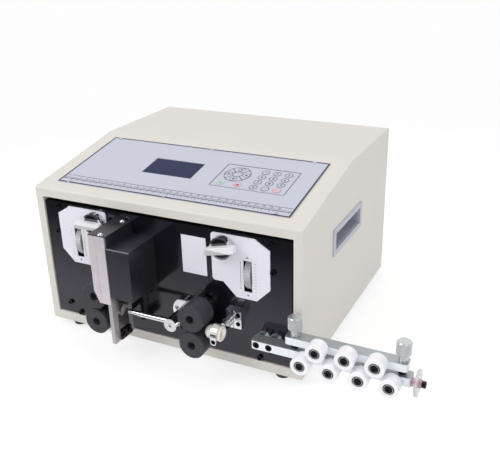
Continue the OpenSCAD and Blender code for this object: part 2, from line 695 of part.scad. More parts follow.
module stepper(y0, len, half, pilot) {
  difference() {
    union() {
      plate_xz(y0, y0 + 9) round_rect(2 * half, 2 * half, 4);
      plate_xz(y0 + 9, y0 + len - 10) round_rect(2 * half - 1.4, 2 * half - 1.4, 8);
      plate_xz(y0 + len - 10, y0 + len) round_rect(2 * half, 2 * half, 4);
      cyl_y(0, 0, y0 - 1.6, y0 + 1, pilot);
    }
    for (sx = [-1, 1], sz = [-1, 1]) cyl_y(sx * (half - 4.6), sz * (half - 4.6), y0 - 1, y0 + 6, 2.2);
  }
}

module feed_motors() placed() color([0.13, 0.13, 0.14]) {
  for (x = [inlet_x, outlet_x]) difference() {
    translate([x, 0, lower_z]) stepper(mount_y1, motor_len, 28.2, 19);
    cyl_y(x, lower_z, mount_y1 - 5, mount_y1 + 12, shaft_r + run);
  }
}

module shaft_gear(x, z, turn) translate([x, gear_y1, z]) rotate([90, 0, 0]) linear_extrude(gear_w)
  rotate(turn) spur(gear_teeth, gear_m, 0.16);

module roller_shaft(x, z, tail, turn) difference() {
  union() {
    cyl_y(x, z, roller_y0 + 6, tail, shaft_r);
    cyl_y(x, z, roller_y1 + 0.02, plate_y0 - 0.8, shaft_r + 3.5);
    cyl_y(x, z, gear_y0 - 1.5, gear_y1 + 1.5, shaft_r + 4);
    shaft_gear(x, z, turn);
  }
  hex_y(x, z, roller_y0 + 5, roller_y0 + 9, shaft_d * 0.5);
}

module feed_roller(x, z) difference() {
  cyl_y(x, z, roller_y0, roller_y1, roller_d / 2);
  cyl_y(x, z, roller_y0 - 1, roller_y1 + 1, shaft_r + 0.02);
  cyl_y(x, z, roller_y0 - 1, roller_y0 + 6, shaft_r + 0.6);
  translate([x, roller_y0 - 0.01, z]) rotate([-90, 0, 0]) difference() {
    cylinder(h = 0.8, r = roller_d / 2 + 1);
    cylinder(h = 0.8, r1 = roller_d / 2 - 0.8, r2 = roller_d / 2);
  }
}

module in_upper_shaft() placed() color([0.75, 0.76, 0.78]) roller_shaft(inlet_x, upper_z, gear_y1 + 3, 0);

module in_lower_shaft() placed() color([0.75, 0.76, 0.78])
  roller_shaft(inlet_x, lower_z, mount_y1 + 11, 180 / gear_teeth);

module out_upper_shaft() placed() color([0.75, 0.76, 0.78]) roller_shaft(outlet_x, upper_z, gear_y1 + 3, 0);

module out_lower_shaft() placed() color([0.75, 0.76, 0.78])
  roller_shaft(outlet_x, lower_z, mount_y1 + 11, 180 / gear_teeth);

module in_upper_roller() placed() color([0.16, 0.16, 0.18]) feed_roller(inlet_x, upper_z);

module in_lower_roller() placed() color([0.16, 0.16, 0.18]) feed_roller(inlet_x, lower_z);

module out_upper_roller() placed() color([0.16, 0.16, 0.18]) feed_roller(outlet_x, upper_z);

module out_lower_roller() placed() color([0.16, 0.16, 0.18]) feed_roller(outlet_x, lower_z);

module span(a, b, y0, y1, z0, z1) box(min(a, b), max(a, b), y0, y1, z0, z1);

module carriage(x, s, lx) difference() {
  union() {
    box(x - carry_half, x + carry_half, slide_y0, slide_y1, carry_z0, carry_z1);
    span(x + s * 2, x + s * 10, slide_y0 + 0.6, slide_y1 - 1.2, carry_z1 - 1, arm_z1);
    span(x + s * 2, lx + s * 7, slide_y0 + 0.6, slide_y1 - 1.2, arm_z0, arm_z1);
  }
  cyl_y(x, upper_z, slide_y0 - 1, slide_y1 + 1, shaft_r + run);
}

module in_carriage() placed() color([0.55, 0.56, 0.58]) carriage(inlet_x, 1, in_lever_x);

module out_carriage() placed() color([0.55, 0.56, 0.58]) carriage(outlet_x, -1, out_lever_x);

module yoke(x, s) {
  difference() {
    union() {
      box(x - carry_half, x + carry_half, slide_y0, yoke_leg_y1, yoke_z0, yoke_top);
      span(x, x + s * leg_out, yoke_leg_y0, yoke_leg_y1, yoke_z0, yoke_top);
      span(x + s * leg_in, x + s * leg_out, yoke_leg_y0, yoke_leg_y1, yoke_z0, wheel_z - 12);
      span(x + s * leg_in, x + s * leg_out, plate_y1 + 0.5, wheel_y + 9, wheel_z - 12, wheel_z + 12);
    }
    span(x + s * (leg_in - 1), x + s * (leg_out + 1), wheel_y - ecc_r - 1.3, wheel_y + ecc_r + 1.3,
      wheel_z - ecc_r - ecc_e - 0.35, wheel_z + ecc_r - ecc_e + 0.35);
  }
}

module in_yoke() placed() color([0.6, 0.6, 0.62]) yoke(inlet_x, 1);

module out_yoke() placed() color([0.6, 0.6, 0.62]) yoke(outlet_x, -1);

module gap_wheel(wx, x, s) {
  translate([wx - wheel_half, wheel_y, wheel_z]) rotate([90, 0, 90]) linear_extrude(2 * wheel_half)
    knurl(wheel_r, 60, 0.6);
  span_x(wx - s * (wheel_half + 2.2), wx + s * (wheel_half + 2.2), 6);
  span_x(x + s * (leg_in - 1), wx + s * (ear_out + 1), wheel_shaft);
  translate([0, 0, -ecc_e]) span_x(x + s * (leg_in + 0.2), x + s * (leg_out - 0.2), ecc_r);
}

module span_x(a, b, r) cyl_x(wheel_y, wheel_z, min(a, b), max(a, b), r);

module in_wheel() placed() color([0.78, 0.79, 0.8]) gap_wheel(in_wheel_x, inlet_x, 1);

module out_wheel() placed() color([0.78, 0.79, 0.8]) gap_wheel(out_wheel_x, outlet_x, -1);

lever_tip = [[-18, -3.2], [-16.5, 4], [18, 4.4], [22, 3.4], [22, -3.4], [18, -4.6], [-16, -4.2]];
lever_tip_r = [0.6, 0.8, 1, 0.8, 0.8, 1, 0.6];

module lever_bar(s) {
  if (s > 0) round_poly(lever_tip, lever_tip_r);
  else mirror([1, 0]) round_poly(lever_tip, lever_tip_r);
}

module release_lever(lx, s, tilt) translate([lx, 0, lever_z]) {
  difference() {
    cyl_y(0, 0, lever_y0, label_y - 0.5, lever_r);
    translate([0, lever_y0 + 3, 0]) rotate([-90, 0, 0]) difference() {
      cylinder(h = 1.2, r = lever_r + 1);
      cylinder(h = 1.2, r = lever_r - 0.7);
    }
    translate([0, lever_y0 + 6, 0]) rotate([-90, 0, 0]) difference() {
      cylinder(h = 1.2, r = lever_r + 1);
      cylinder(h = 1.2, r = lever_r - 0.7);
    }
  }
  cyl_y(0, 0, label_y - 0.6, cam_y1 + 1, lever_hub);
  rotate([0, -tilt, 0]) intersection() {
    plate_xz(lever_y0 - 9, lever_y0 + 0.5) lever_bar(s);
    plate_yz(-lever_r - 12, lever_r + 12) polygon([[lever_y0 + 1, -6], [lever_y0 - 8, -6],
      [lever_y0 - 9, -3.4],
      [lever_y0 - 6.4, 6], [lever_y0 + 1, 6]]);
  }
  plate_xz(cam_y0, cam_y1) union() {
    circle(cam_lo);
    for (sx = [-1, 1]) translate([sx * (cam_hi - cam_lo), 0]) circle(cam_lo - 0.2);
  }
}

in_tilt = 13;
out_tilt = 2;

module in_lever() placed() color([0.85, 0.86, 0.88]) release_lever(in_lever_x, 1, in_tilt);

module out_lever() placed() color([0.85, 0.86, 0.88]) release_lever(out_lever_x, -1, out_tilt);

module dove_z(x, y, w, h, grow, dir, z0, z1) translate([x, y, z0]) linear_extrude(z1 - z0)
  polygon([[0, -w / 2 - grow], [-dir * (h + grow), -w / 2 - 1.6 - grow],
    [-dir * (h + grow), w / 2 + 1.6 + grow],
    [0, w / 2 + grow]]);

module cutter_block() placed() color([0.8, 0.79, 0.8]) difference() {
  union() {
    plate_xz(head_y0, plate_y0) polygon([[head_x0, head_z0 + 16], [head_x0, head_z1],
      [head_seam - 0.25, head_z1],
      [head_seam - 0.25, head_z0], [head_x0 + 7.5, head_z0]]);
    box(head_seam - 0.3, head_seam + 0.3, head_y0 + 0.4, plate_y0, head_z0, head_z1);
    box(head_seam + 0.25, cutter_x, head_y0, plate_y0, head_z0, head_z1);
    box(cutter_x - 1, guard_x1 - guard_t - 0.6, back_y, plate_y0, guard_z0 + 1, guard_z1 - guard_t - 0.6);
  }
  box(strip_x0 - free, cutter_x + 1, strip_y0 - free, strip_y1 + free, head_z0 - 1, 158);
  dove_z(strip_x0 - free + 0.01, -31, 14, 4, free, 1, head_z0 - 1, 158);
  for (z = [upper_z, upper_z + lever_lift + gap_travel])
    cyl_y(outlet_x, z, roller_y0 - 1, plate_y0 + 1, roller_d / 2 + 0.8);
  box(outlet_x, outlet_x + roller_d / 2 + 0.8, roller_y0 - 1, plate_y0 + 1, upper_z,
    upper_z + lever_lift + gap_travel);
  cyl_y(pin_x, pin_z, back_y - 1, plate_y0 + 1, 6);
  dove_y(pin_x, back_y, free, 88, 116);
  for (y = [head_y0 + 4.2, -2.8]) cyl_z(cutter_x - 7.5, y, head_z1 - 9, head_z1 + 1, 2.05);
}

module dove_y(x, y, grow, z0, z1) translate([x, y, z0]) linear_extrude(z1 - z0)
  polygon([[-5 - grow, -0.02], [-6.6 - grow, 3 + grow], [6.6 + grow, 3 + grow], [5 + grow, -0.02]]);

module cutter_guard() placed() color([0.1, 0.1, 0.12]) {
  difference() {
    box(guard_x0, guard_x1, head_y0 + 0.3, plate_y0, guard_z0, guard_z1);
    box(guard_x0 - 1, guard_x1 - guard_t, head_y0 + 0.3 + guard_t, plate_y0 + 1, guard_z0 - 1,
      guard_z1 - guard_t);
    translate([0, head_y0 + 0.3, guard_z1]) rotate([45, 0, 0])
      box(guard_x0 - 1, guard_x1 + 1, -2, 2, -0.8, 2);
  }
  difference() {
    box(guard_x0, guard_x0 + guard_t, head_y0 + 2, plate_y0, guard_z1 - guard_t, head_z1 + guard_t);
    box(guard_x0 - 1, guard_x0 - 0.5, -60, 0, 0, 1);
  }
  difference() {
    box(head_x0 + 0.3, guard_x0 + guard_t, head_y0 + 0.2, plate_y0, head_z1, head_z1 + guard_t);
    for (y = [head_y0 + 4.2, -2.8]) cyl_z(cutter_x - 7.5, y, head_z1 - 1, head_z1 + 3, 2.1);
    cyl_z(cutter_x - 8.5, -21.5, head_z1 - 1, head_z1 + 3, 2);
  }
}

module rack_teeth(m, count, slack) polygon(concat([[-3.2, -count * PI * m / 2]],
  [for (k = [0 : count - 1]) let (c = (k - (count - 1) / 2) * PI * m, h = (PI * m / 2 - slack) / 2) each [
    [-1.2 * m, c - h - 1.2 * m * tan(20)], [0.85 * m, c - h + 0.85 * m * tan(20)],
    [0.85 * m, c + h - 0.85 * m * tan(20)], [-1.2 * m, c + h + 1.2 * m * tan(20)]]],
  [[-3.2, count * PI * m / 2]]));

rack_count = 10;
rack_low_z = pin_z - blade_travel / 2;
rack_up_z = pin_z + blade_travel / 2;
function near_gap(z) = pin_z + (round((z - pin_z) / (PI * rack_module))) * PI * rack_module;
lowr_z = near_gap(rack_low_z);
upr_z = near_gap(rack_up_z);
vee = 5.5;
low_tip = wire_z + 0.2 - blade_travel + vee;

module lower_seat() placed() color([0.74, 0.73, 0.74]) {
  difference() {
    union() {
      box(strip_x0, strip_x1, strip_y0, strip_y1, 20, 146);
      dove_z(strip_x0 + 0.01, -31, 14, 4, 0, 1, 96, 146);
      box(strip_x1 - 0.5, pin_x - pin_r - 2.8 * rack_module, rack_y0, rack_y1 - 0.5,
        lowr_z - rack_count * PI * rack_module / 2, lowr_z + rack_count * PI * rack_module / 2);
      plate_xz(rack_y0, rack_y1 - 0.5) translate([pin_x - pin_r, lowr_z])
        rack_teeth(rack_module, rack_count, 0.12);
    }
    for (y = [wire_y - 5.5, wire_y + 5.5]) cyl_x(y, screw_lz, strip_x0 - 1, strip_x1 + 1, 2);
    box(strip_x0 - 1, strip_x1 + 1, wire_y - 4, wire_y + 4, wire_z - blade_travel, wire_z);
    for (z = [wire_z - blade_travel, wire_z]) cyl_x(wire_y, z, strip_x0 - 1, strip_x1 + 1, 4);
  }
  difference() {
    box(blade_lx1, clamp_x1, wire_y - 10.5, wire_y + 10.5, 22.5, 35);
    for (y = [wire_y - 5.5, wire_y + 5.5]) cyl_x(y, screw_lz, blade_lx1 - 1, clamp_x1 + 1, 2.05);
  }
  for (y = [wire_y - 5.5, wire_y + 5.5]) socket_x(y, screw_lz, clamp_x1 + 3, 3.5, 3, 1.95,
    clamp_x1 - strip_x0 - 0.5);
}

module blade_shape(w, h, notch) polygon([[-w, 0], [w, 0], [w, h], [w - 3, h], [0, h - notch],
  [3 - w, h], [-w, h]]);

module lower_blade() placed() color([0.86, 0.87, 0.88]) difference() {
  plate_yz(blade_lx0 + 0.02, blade_lx1 - 0.02) translate([wire_y, 22.5])
    blade_shape(10.5, low_tip - 22.5, vee);
  for (y = [wire_y - 5.5, wire_y + 5.5]) cyl_x(y, screw_lz, blade_lx0 - 1, blade_lx1 + 1, 2.05);
}

up_tip = 2 * wire_z - low_tip;
hold_z0 = up_tip + 14;
screw_uz = hold_z0 + 7;
module upper_seat() placed() color([0.12, 0.12, 0.13]) {
  difference() {
    union() {
      box(blade_ux1, hold_x1, wire_y - 11.5, wire_y + 11.5, hold_z0, 103);
      box(blade_ux1 + 0.2, guard_x1 - guard_t - 0.7, -26, rack_y1 - 0.5, 93, 103);
      box(pin_x + pin_r + 1.3 * rack_module, guard_x1 - guard_t - 0.7, rack_y0, rack_y1 - 0.5, 93,
        upr_z + rack_count * PI * rack_module / 2);
      plate_xz(rack_y0, rack_y1 - 0.5) translate([pin_x + pin_r, upr_z]) mirror([1, 0])
        rack_teeth(rack_module, rack_count, 0.12);
      dove_y(pin_x, back_y, 0, 93, 103);
      box(pin_x - 5, pin_x + 5, rack_y1 - 1, back_y + 0.02, 93, 103);
    }
    for (y = [wire_y - 5.5, wire_y + 5.5]) cyl_x(y, screw_uz, blade_ux1 - 1, hold_x1 + 1, 2.05);
    box(blade_ux1 + 2.4, hold_x1 + 1, wire_y - 1.6, wire_y + 1.6, hold_z0 - 1, hold_z0 + 3.5);
  }
  for (y = [wire_y - 5.5, wire_y + 5.5])
    socket_x(y, screw_uz, hold_x1 + 3, 3.5, 3, 1.95, hold_x1 - blade_ux0 - 0.1);
}

module upper_blade() placed() color([0.86, 0.87, 0.88]) difference() {
  plate_yz(blade_ux0 + 0.02, blade_ux1 - 0.02) translate([wire_y, hold_z0 + 18]) mirror([0, 1])
    blade_shape(10.5, hold_z0 + 18 - up_tip, vee);
  for (y = [wire_y - 5.5, wire_y + 5.5]) cyl_x(y, screw_uz, blade_ux0 - 1, blade_ux1 + 1, 2.05);
}

module cutter_pinion() placed() color([0.7, 0.71, 0.73]) {
  translate([pin_x, pinion_y1, pin_z]) rotate([90, 0, 0]) linear_extrude(pinion_y1 - pinion_y0)
    spur(pinion_teeth, rack_module, 0.12);
  cyl_y(pin_x, pin_z, pinion_y0 - 1.5, pinion_y0 + 1, 5.5);
  cyl_y(pin_x, pin_z, pinion_y1 - 1, plate_y1 + 16, 4);
}

module cutter_motor() placed() color([0.13, 0.13, 0.14]) difference() {
  union() {
    translate([pin_x, 0, pin_z]) stepper(plate_y1 + 5, motor_len, 28.2, 19);
    difference() {
      plate_xz(plate_y1, plate_y1 + 5) translate([pin_x, pin_z]) round_rect(56.4, 56.4, 3);
      cyl_y(pin_x, pin_z, plate_y1 - 1, plate_y1 + 6, 19.1);
    }
  }
  cyl_y(pin_x, pin_z, plate_y1 - 1, plate_y1 + 18, 4 + run);
}

module swing_guide() placed() color([0.82, 0.83, 0.85]) {
  difference() {
    union() {
      cyl_y(swing_x, wire_z, wire_y - 9, plate_y0 - 5, swing_r);
      cyl_y(swing_x, wire_z, plate_y0 - 5.2, plate_y0 - 0.6, 18.4);
    }
    cyl_x(wire_y, wire_z, swing_x - 20, swing_x + 20, tube_d / 2);
    hex_y(swing_x, wire_z, wire_y - 10, wire_y - 5.5, 5);
    for (a = [45, 165, 285]) cyl_y(swing_x + 13 * cos(a), wire_z + 13 * sin(a), plate_y0 - 6,
      plate_y0 - 2, 3.2);
  }
  cyl_y(swing_x, wire_z, plate_y0 - 0.7, plate_y1 + 11, 6);
  difference() {
    plate_xz(plate_y1 + 1.5, plate_y1 + 7.5) translate([swing_x, wire_z]) rotate(30) union() {
      circle(9);
      translate([-4, 0]) square([8, 30]);
      translate([0, 30]) circle(5);
    }
    cyl_y(swing_x - 15, wire_z + 30 * cos(30), plate_y1, plate_y1 + 9, 2.1);
  }
  difference() {
    union() {
      cyl_x(wire_y, wire_z, tube_x0, tube_x1, tube_d / 2 - 0.01);
      translate([tube_x1 - 3, wire_y, wire_z]) rotate([0, 90, 0])
        cylinder(h = 3, r1 = tube_d / 2 - 0.01, r2 = tube_d / 2 + 2.4);
    }
    cyl_x(wire_y, wire_z, tube_x0 - 1, tube_x1 + 1, tube_bore / 2);
    translate([tube_x1 - 3, wire_y, wire_z]) rotate([0, 90, 0])
      cylinder(h = 3.1, r1 = tube_bore / 2, r2 = tube_d / 2 + 1.6);
  }
}

ring_mid = (ring_x0 + ring_x1) / 2;
ear_z = wire_z - 6.4;
module guide_clamp() placed() color([0.82, 0.83, 0.85]) {
  difference() {
    union() {
      box(rod_x - 3, rod_x + 18, plate_y0 - 6, plate_y0, wire_z - 6.6, wire_z + 17.5);
      cyl_y(rod_x, rod_z, plate_y0 - 13, plate_y0 - 5, rod_r + 2.4);
    }
    cyl_y(rod_x, rod_z, plate_y0 - 16, plate_y0 - 2, rod_r + 0.02);
    for (z = [0, 12]) cyl_y(rod_x + 13.5, wire_z + z, plate_y0 - 7, plate_y0 - 2, 3.2);
    box(rod_x + 6.5, rod_x + 7.3, plate_y0 - 7, plate_y0 - 3, wire_z - 9, wire_z + 18);
  }
  cyl_y(rod_x, rod_z, wire_y + 8.5, plate_y0 - 2, rod_r);
  for (z = [0, 12]) socket_y(rod_x + 13.5, wire_z + z, plate_y0 - 5.5, 3.1, 3, 2, 2);
  difference() {
    union() {
      cyl_x(wire_y, wire_z, ring_x0, ring_x1, ring_r);
      intersection() {
        cyl_y(ring_mid, ear_z, wire_y - 12.4, wire_y, 4.6);
        box(ring_x0 + 0.2, ring_x1 - 0.2, wire_y - 13, wire_y + 1, ear_z - 5, ear_z + 5);
      }
    }
    cyl_x(wire_y, wire_z, ring_x0 - 1, ring_x1 + 1, 7);
    cyl_y(ring_mid, ear_z, wire_y - 13, wire_y - 9, 3);
    box(ring_x0 - 1, ring_x1 + 1, wire_y - 13, wire_y - 6, wire_z + 0.4, wire_z + 1.2);
  }
  socket_y(ring_mid, ear_z, wire_y - 11.6, 2.9, 2.6, 1.6, 1);
}

module eyelet() placed() color([0.9, 0.85, 0.76]) difference() {
  union() {
    cyl_x(wire_y, wire_z, eye_x0 + 1, eye_x1 - 1, 6.98);
    cyl_x(wire_y, wire_z, ring_x1, eye_x1 - 1, 9.6);
    translate([eye_x1 - 1, wire_y, wire_z]) rotate([0, 90, 0]) cylinder(h = 1, r1 = 9.6, r2 = 8.6);
    cyl_x(wire_y, wire_z, eye_x0 + 3, ring_x0, 8.4);
    translate([eye_x0, wire_y, wire_z]) rotate([0, 90, 0]) cylinder(h = 3, r1 = 6.4, r2 = 8.4);
  }
  cyl_x(wire_y, wire_z, eye_x0 - 1, eye_x1 + 1, eye_bore / 2);
  translate([eye_x1 - 3, wire_y, wire_z]) rotate([0, 90, 0])
    cylinder(h = 3.1, r1 = eye_bore / 2, r2 = eye_bore / 2 + 3);
}

module bar_plan(x0, x1) {
  translate([x0 + 4, bar_y0]) square([x1 - x0 - 8, bar_y1 - bar_y0]);
  translate([x0, bar_y0 + 4]) square([x1 - x0, bar_y1 - bar_y0 - 8]);
  for (x = [x0 + 4, x1 - 4], y = [bar_y0 + 4, bar_y1 - 4]) translate([x, y]) circle(4);
}

module base_bar() placed() color([0.72, 0.74, 0.76]) {
  difference() {
    translate([0, 0, base_z0]) linear_extrude(base_z1 - base_z0) bar_plan(base_x0, base_x1);
    for (x = [post_x1, post_x2]) {
      cyl_y(x, bar_cz, bar_y0 - 1, bar_y1 + 1, 2.6);
      cyl_y(x, bar_cz, bar_y0 - 1, bar_y0 + 4.2, 4.4);
    }
    for (i = [0 : 3]) cyl_y(first_l + i * row_pitch, low_z, bar_y0 - 1, bar_y0 + 9, 2.05);
    for (x = [thumb_x1, thumb_x2]) cyl_z(x, bar_mid, base_z0 - 1, base_z1 + 1, 2.8);
    cyl_x(disc_y, bar_cz, base_x1 - 12, base_x1 + 1, 2.05);
  }
  for (x = [post_x1, post_x2]) difference() {
    cyl_y(x, bar_cz, bar_y1, plate_y0, 7);
    cyl_y(x, bar_cz, bar_y1 - 1, plate_y0 + 1, 2.6);
  }
  for (x = [thumb_x1, thumb_x2]) difference() {
    cyl_z(x, bar_mid, base_z1 - 0.5, slide_z0 + 2.2, 4.4);
    cyl_z(x, bar_mid, base_z0, slide_z0 + 4, 2.8);
    for (k = [0 : 3]) translate([x, bar_mid, base_z1 + 0.6 + k * 1.7]) difference() {
      cylinder(h = 0.8, r = 5);
      cylinder(h = 0.8, r = 3.8);
    }
  }
}

module slide_bar() placed() color([0.72, 0.74, 0.76]) difference() {
  translate([0, 0, slide_z0]) linear_extrude(slide_z1 - slide_z0) bar_plan(slide_x0, slide_x1);
  for (i = [0 : 2]) cyl_y(first_u + i * row_pitch, up_z, bar_y0 - 1, bar_y0 + 9, 1.65);
  for (x = [thumb_x1, thumb_x2]) {
    cyl_z(x, bar_mid, slide_z0 - 1, slide_z1 + 1, 2.5 + run);
    cyl_z(x, bar_mid, slide_z0 - 1, slide_z0 + 3.2, 4.8);
  }
}

module thumbscrew(x) {
  translate([x, bar_mid, slide_z1 + 7.7]) cylinder(h = 1.6, r1 = thumb_d / 2 - 1.8, r2 = thumb_d / 2 - 0.6);
  translate([x, bar_mid, slide_z1 + 9.2]) linear_extrude(14.6) knurl(thumb_d / 2, 40, 0.45);
  translate([x, bar_mid, slide_z1 + 23.8]) cylinder(h = 1, r1 = thumb_d / 2 - 0.5, r2 = thumb_d / 2 - 1.3);
  cyl_z(x, bar_mid, slide_z1 + 0.3, slide_z1 + 7.8, 5.3);
  cyl_z(x, bar_mid, base_z1 - bar_travel - 4.7, slide_z1 + 1, 2.5);
}

module thumbscrew_left() placed() color([0.8, 0.81, 0.82]) thumbscrew(thumb_x1);

module thumbscrew_right() placed() color([0.8, 0.81, 0.82]) thumbscrew(thumb_x2);

module nylon(x, z) translate([x, srl_y0, z]) rotate([-90, 0, 0]) rotate_extrude()
  polygon([[6.5, 0.9], [7.1, 0], [srl_d / 2 - 0.9, 0], [srl_d / 2 - 0.25, 0.3], [srl_d / 2, 1],
    [srl_d / 2, srl_w - 1], [srl_d / 2 - 0.25, srl_w - 0.3], [srl_d / 2 - 0.9, srl_w], [7.1, srl_w],
      [6.5, srl_w - 0.9]]);

module roller_l1() placed() color([0.95, 0.95, 0.96]) nylon(first_l, low_z);

module roller_l2() placed() color([0.95, 0.95, 0.96]) nylon(first_l + row_pitch, low_z);

module roller_l3() placed() color([0.95, 0.95, 0.96]) nylon(first_l + 2 * row_pitch, low_z);

module roller_l4() placed() color([0.95, 0.95, 0.96]) nylon(first_l + 3 * row_pitch, low_z);

module roller_u1() placed() color([0.95, 0.95, 0.96]) nylon(first_u, up_z);

module roller_u2() placed() color([0.95, 0.95, 0.96]) nylon(first_u + row_pitch, up_z);

module roller_u3() placed() color([0.95, 0.95, 0.96]) nylon(first_u + 2 * row_pitch, up_z);

module axle(x, z, shank) {
  difference() {
    union() {
      cyl_y(x, z, srl_y0 + 1, srl_y0 + 6, 6.5 - run);
      cyl_y(x, z, srl_y1 - 6, srl_y1 - 1, 6.5 - run);
      cyl_y(x, z, srl_y0 + 2, bar_y0, 3.4);
    }
    translate([x, srl_y0 + 0.9, z]) rotate([-90, 0, 0]) difference() {
      cylinder(h = 0.8, r = 5.2);
      cylinder(h = 0.8, r = 4.2);
    }
  }
  socket_y(x, z, srl_y0 - 0.8, 3.6, 2.6, shank, srl_w + 8);
}

module lower_axles() placed() color([0.35, 0.35, 0.37]) {
  for (i = [0 : 3]) axle(first_l + i * row_pitch, low_z, 2);
  for (x = [post_x1, post_x2]) socket_y(x, bar_cz, bar_y0 + 0.2, 4.3, 4, 2.5, bar_y1 - bar_y0 + 2);
  socket_x(disc_y, bar_cz, last_x, 4, 4.1, 2, disc_x0 - base_x1 + 14);
}

module upper_axles() placed() color([0.35, 0.35, 0.37]) for (i = [0 : 2])
  axle(first_u + i * row_pitch, up_z, 1.6);

module guide_disc() placed() color([0.93, 0.93, 0.93]) difference() {
  union() {
    cyl_x(disc_y, bar_cz, disc_x0, disc_x1, disc_r);
    cyl_x(disc_y, bar_cz, base_x1 + 0.4, disc_x0 + 0.5, 5);
    cyl_x(disc_y, bar_cz, disc_x1 - 0.5, disc_x1 + 3, 5);
  }
  cyl_x(disc_y, bar_cz, base_x1 - 1, disc_x1 + 4, 2 + run);
}

cabinet_shell();
base_pan();
rear_panel();
front_plate();
case_screws();
feet();
keypad_overlay();
lcd_window();
cover_screws();
side_handles();
fan_frame();
fan_rotor();
power_inlet();
power_switch();
power_supply();
control_board();
gap_plates();
feed_frames();
feed_motors();
cutter_block();
cutter_guard();
upper_seat();
lower_seat();
upper_blade();
lower_blade();
cutter_pinion();
cutter_motor();
swing_guide();
guide_clamp();
eyelet();
base_bar();
slide_bar();
thumbscrew_left();
thumbscrew_right();
roller_l1();
roller_l2();
roller_l3();
roller_l4();
roller_u1();
roller_u2();
roller_u3();
lower_axles();
upper_axles();
guide_disc();
in_wheel();
in_lever();
in_yoke();
in_carriage();
in_upper_shaft();
in_lower_shaft();
in_upper_roller();
in_lower_roller();
out_wheel();
out_lever();
out_yoke();
out_carriage();
out_upper_shaft();
out_lower_shaft();
out_upper_roller();
out_lower_roller();
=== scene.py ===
import math

import bpy
from mathutils import Matrix, Vector


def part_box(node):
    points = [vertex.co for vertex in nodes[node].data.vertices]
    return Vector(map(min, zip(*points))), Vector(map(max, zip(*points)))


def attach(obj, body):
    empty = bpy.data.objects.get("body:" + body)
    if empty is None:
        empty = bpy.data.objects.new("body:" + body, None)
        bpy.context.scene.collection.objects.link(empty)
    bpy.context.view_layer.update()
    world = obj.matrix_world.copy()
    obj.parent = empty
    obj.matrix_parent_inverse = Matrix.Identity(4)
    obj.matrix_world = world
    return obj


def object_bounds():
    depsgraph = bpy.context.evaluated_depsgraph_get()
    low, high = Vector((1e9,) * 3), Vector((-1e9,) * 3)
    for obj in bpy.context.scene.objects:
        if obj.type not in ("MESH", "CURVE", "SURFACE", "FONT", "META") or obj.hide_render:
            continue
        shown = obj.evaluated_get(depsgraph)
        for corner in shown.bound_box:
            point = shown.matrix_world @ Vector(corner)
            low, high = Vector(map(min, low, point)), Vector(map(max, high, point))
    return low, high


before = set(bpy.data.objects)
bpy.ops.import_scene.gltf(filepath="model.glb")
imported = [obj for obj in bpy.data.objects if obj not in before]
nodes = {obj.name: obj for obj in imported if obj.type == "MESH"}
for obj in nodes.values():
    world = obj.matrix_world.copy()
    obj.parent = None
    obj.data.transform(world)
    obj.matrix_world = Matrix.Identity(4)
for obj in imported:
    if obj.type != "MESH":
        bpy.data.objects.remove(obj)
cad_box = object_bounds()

scene = bpy.context.scene

# Sizes, in millimetres
MM = 0.001
shell_low, shell_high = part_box("cabinet_shell")
CABINET_W = (shell_high.x - shell_low.x) / MM
# the slope starts at this height over the cabinet's lower edge and runs back this far
FRONT_H, SLOPE_RUN = 199.0, 173.0
SLOPE = math.atan2((shell_high.z - shell_low.z) / MM - FRONT_H, SLOPE_RUN)
# how far the control film and its raised keys stand off the slope
FILM_T, KEY_TOP = 0.8, 1.2
# how far the gap labels and the front plate lie behind the cabinet's front edge
LABEL_FACE, PLATE_FACE = 0.5, 2.0
# a print is drawn thicker than real ink, so that it stands clear of what it lies on
PRINT_T = 0.05

LOWER_ROLLERS = [f"roller_l{i}" for i in (1, 2, 3, 4)]
UPPER_ROLLERS = [f"roller_u{i}" for i in (1, 2, 3)]


def place(x, y, z):
    """A point given in millimetres from the cabinet's lower left front corner, in the frame's metres."""
    return Vector((shell_low.x + x * MM, shell_low.y + y * MM, shell_low.z + z * MM))


def drawing_place(corner, tilt):
    """Where a flat drawing in millimetres lies: from its corner on, tilted up about its lower edge."""
    return Matrix.Translation(corner) @ Matrix.Rotation(tilt, 4, "X") @ Matrix.Diagonal((MM, MM, MM, 1))


# the control face: u runs right along the slope and v runs up it
SLOPE_PLACE = drawing_place(place(0, 0, FRONT_H), SLOPE)
# the plane of the cabinet's front edge: u runs right and v runs up
FRONT_PLACE = drawing_place(place(0, 0, 0), math.pi / 2)

# Materials

# the numbers of the Mix node's two inputs and of its output
MIX_COLOUR, MIX_VALUE = (6, 7, 2), (2, 3, 0)
# how fine the noise is in the colour, in the roughness and in the grain
COLOUR_DETAIL, ROUGH_DETAIL, GRAIN_DETAIL = 3.0, 4.0, 2.0
# nearly all of a noise lies between these two values
NOISE_LOW, NOISE_HIGH = 0.3, 0.7


def colour(hexa):
    """An sRGB hex value as the linear colour that a shader takes."""
    parts = [int(hexa[i : i + 2], 16) / 255 for i in (1, 3, 5)]
    return [p / 12.92 if p <= 0.04045 else ((p + 0.055) / 1.055) ** 2.4 for p in parts] + [1.0]


def add(tree, kind, inputs=None, **settings):
    """One node with its settings; a socket given as an input is linked, a value is set."""
    made = tree.nodes.new(kind)
    for key, value in settings.items():
        setattr(made, key, value)
    for key, value in (inputs or {}).items():
        if isinstance(value, bpy.types.NodeSocket):
            tree.links.new(value, made.inputs[key])
        else:
            made.inputs[key].default_value = value
    return made


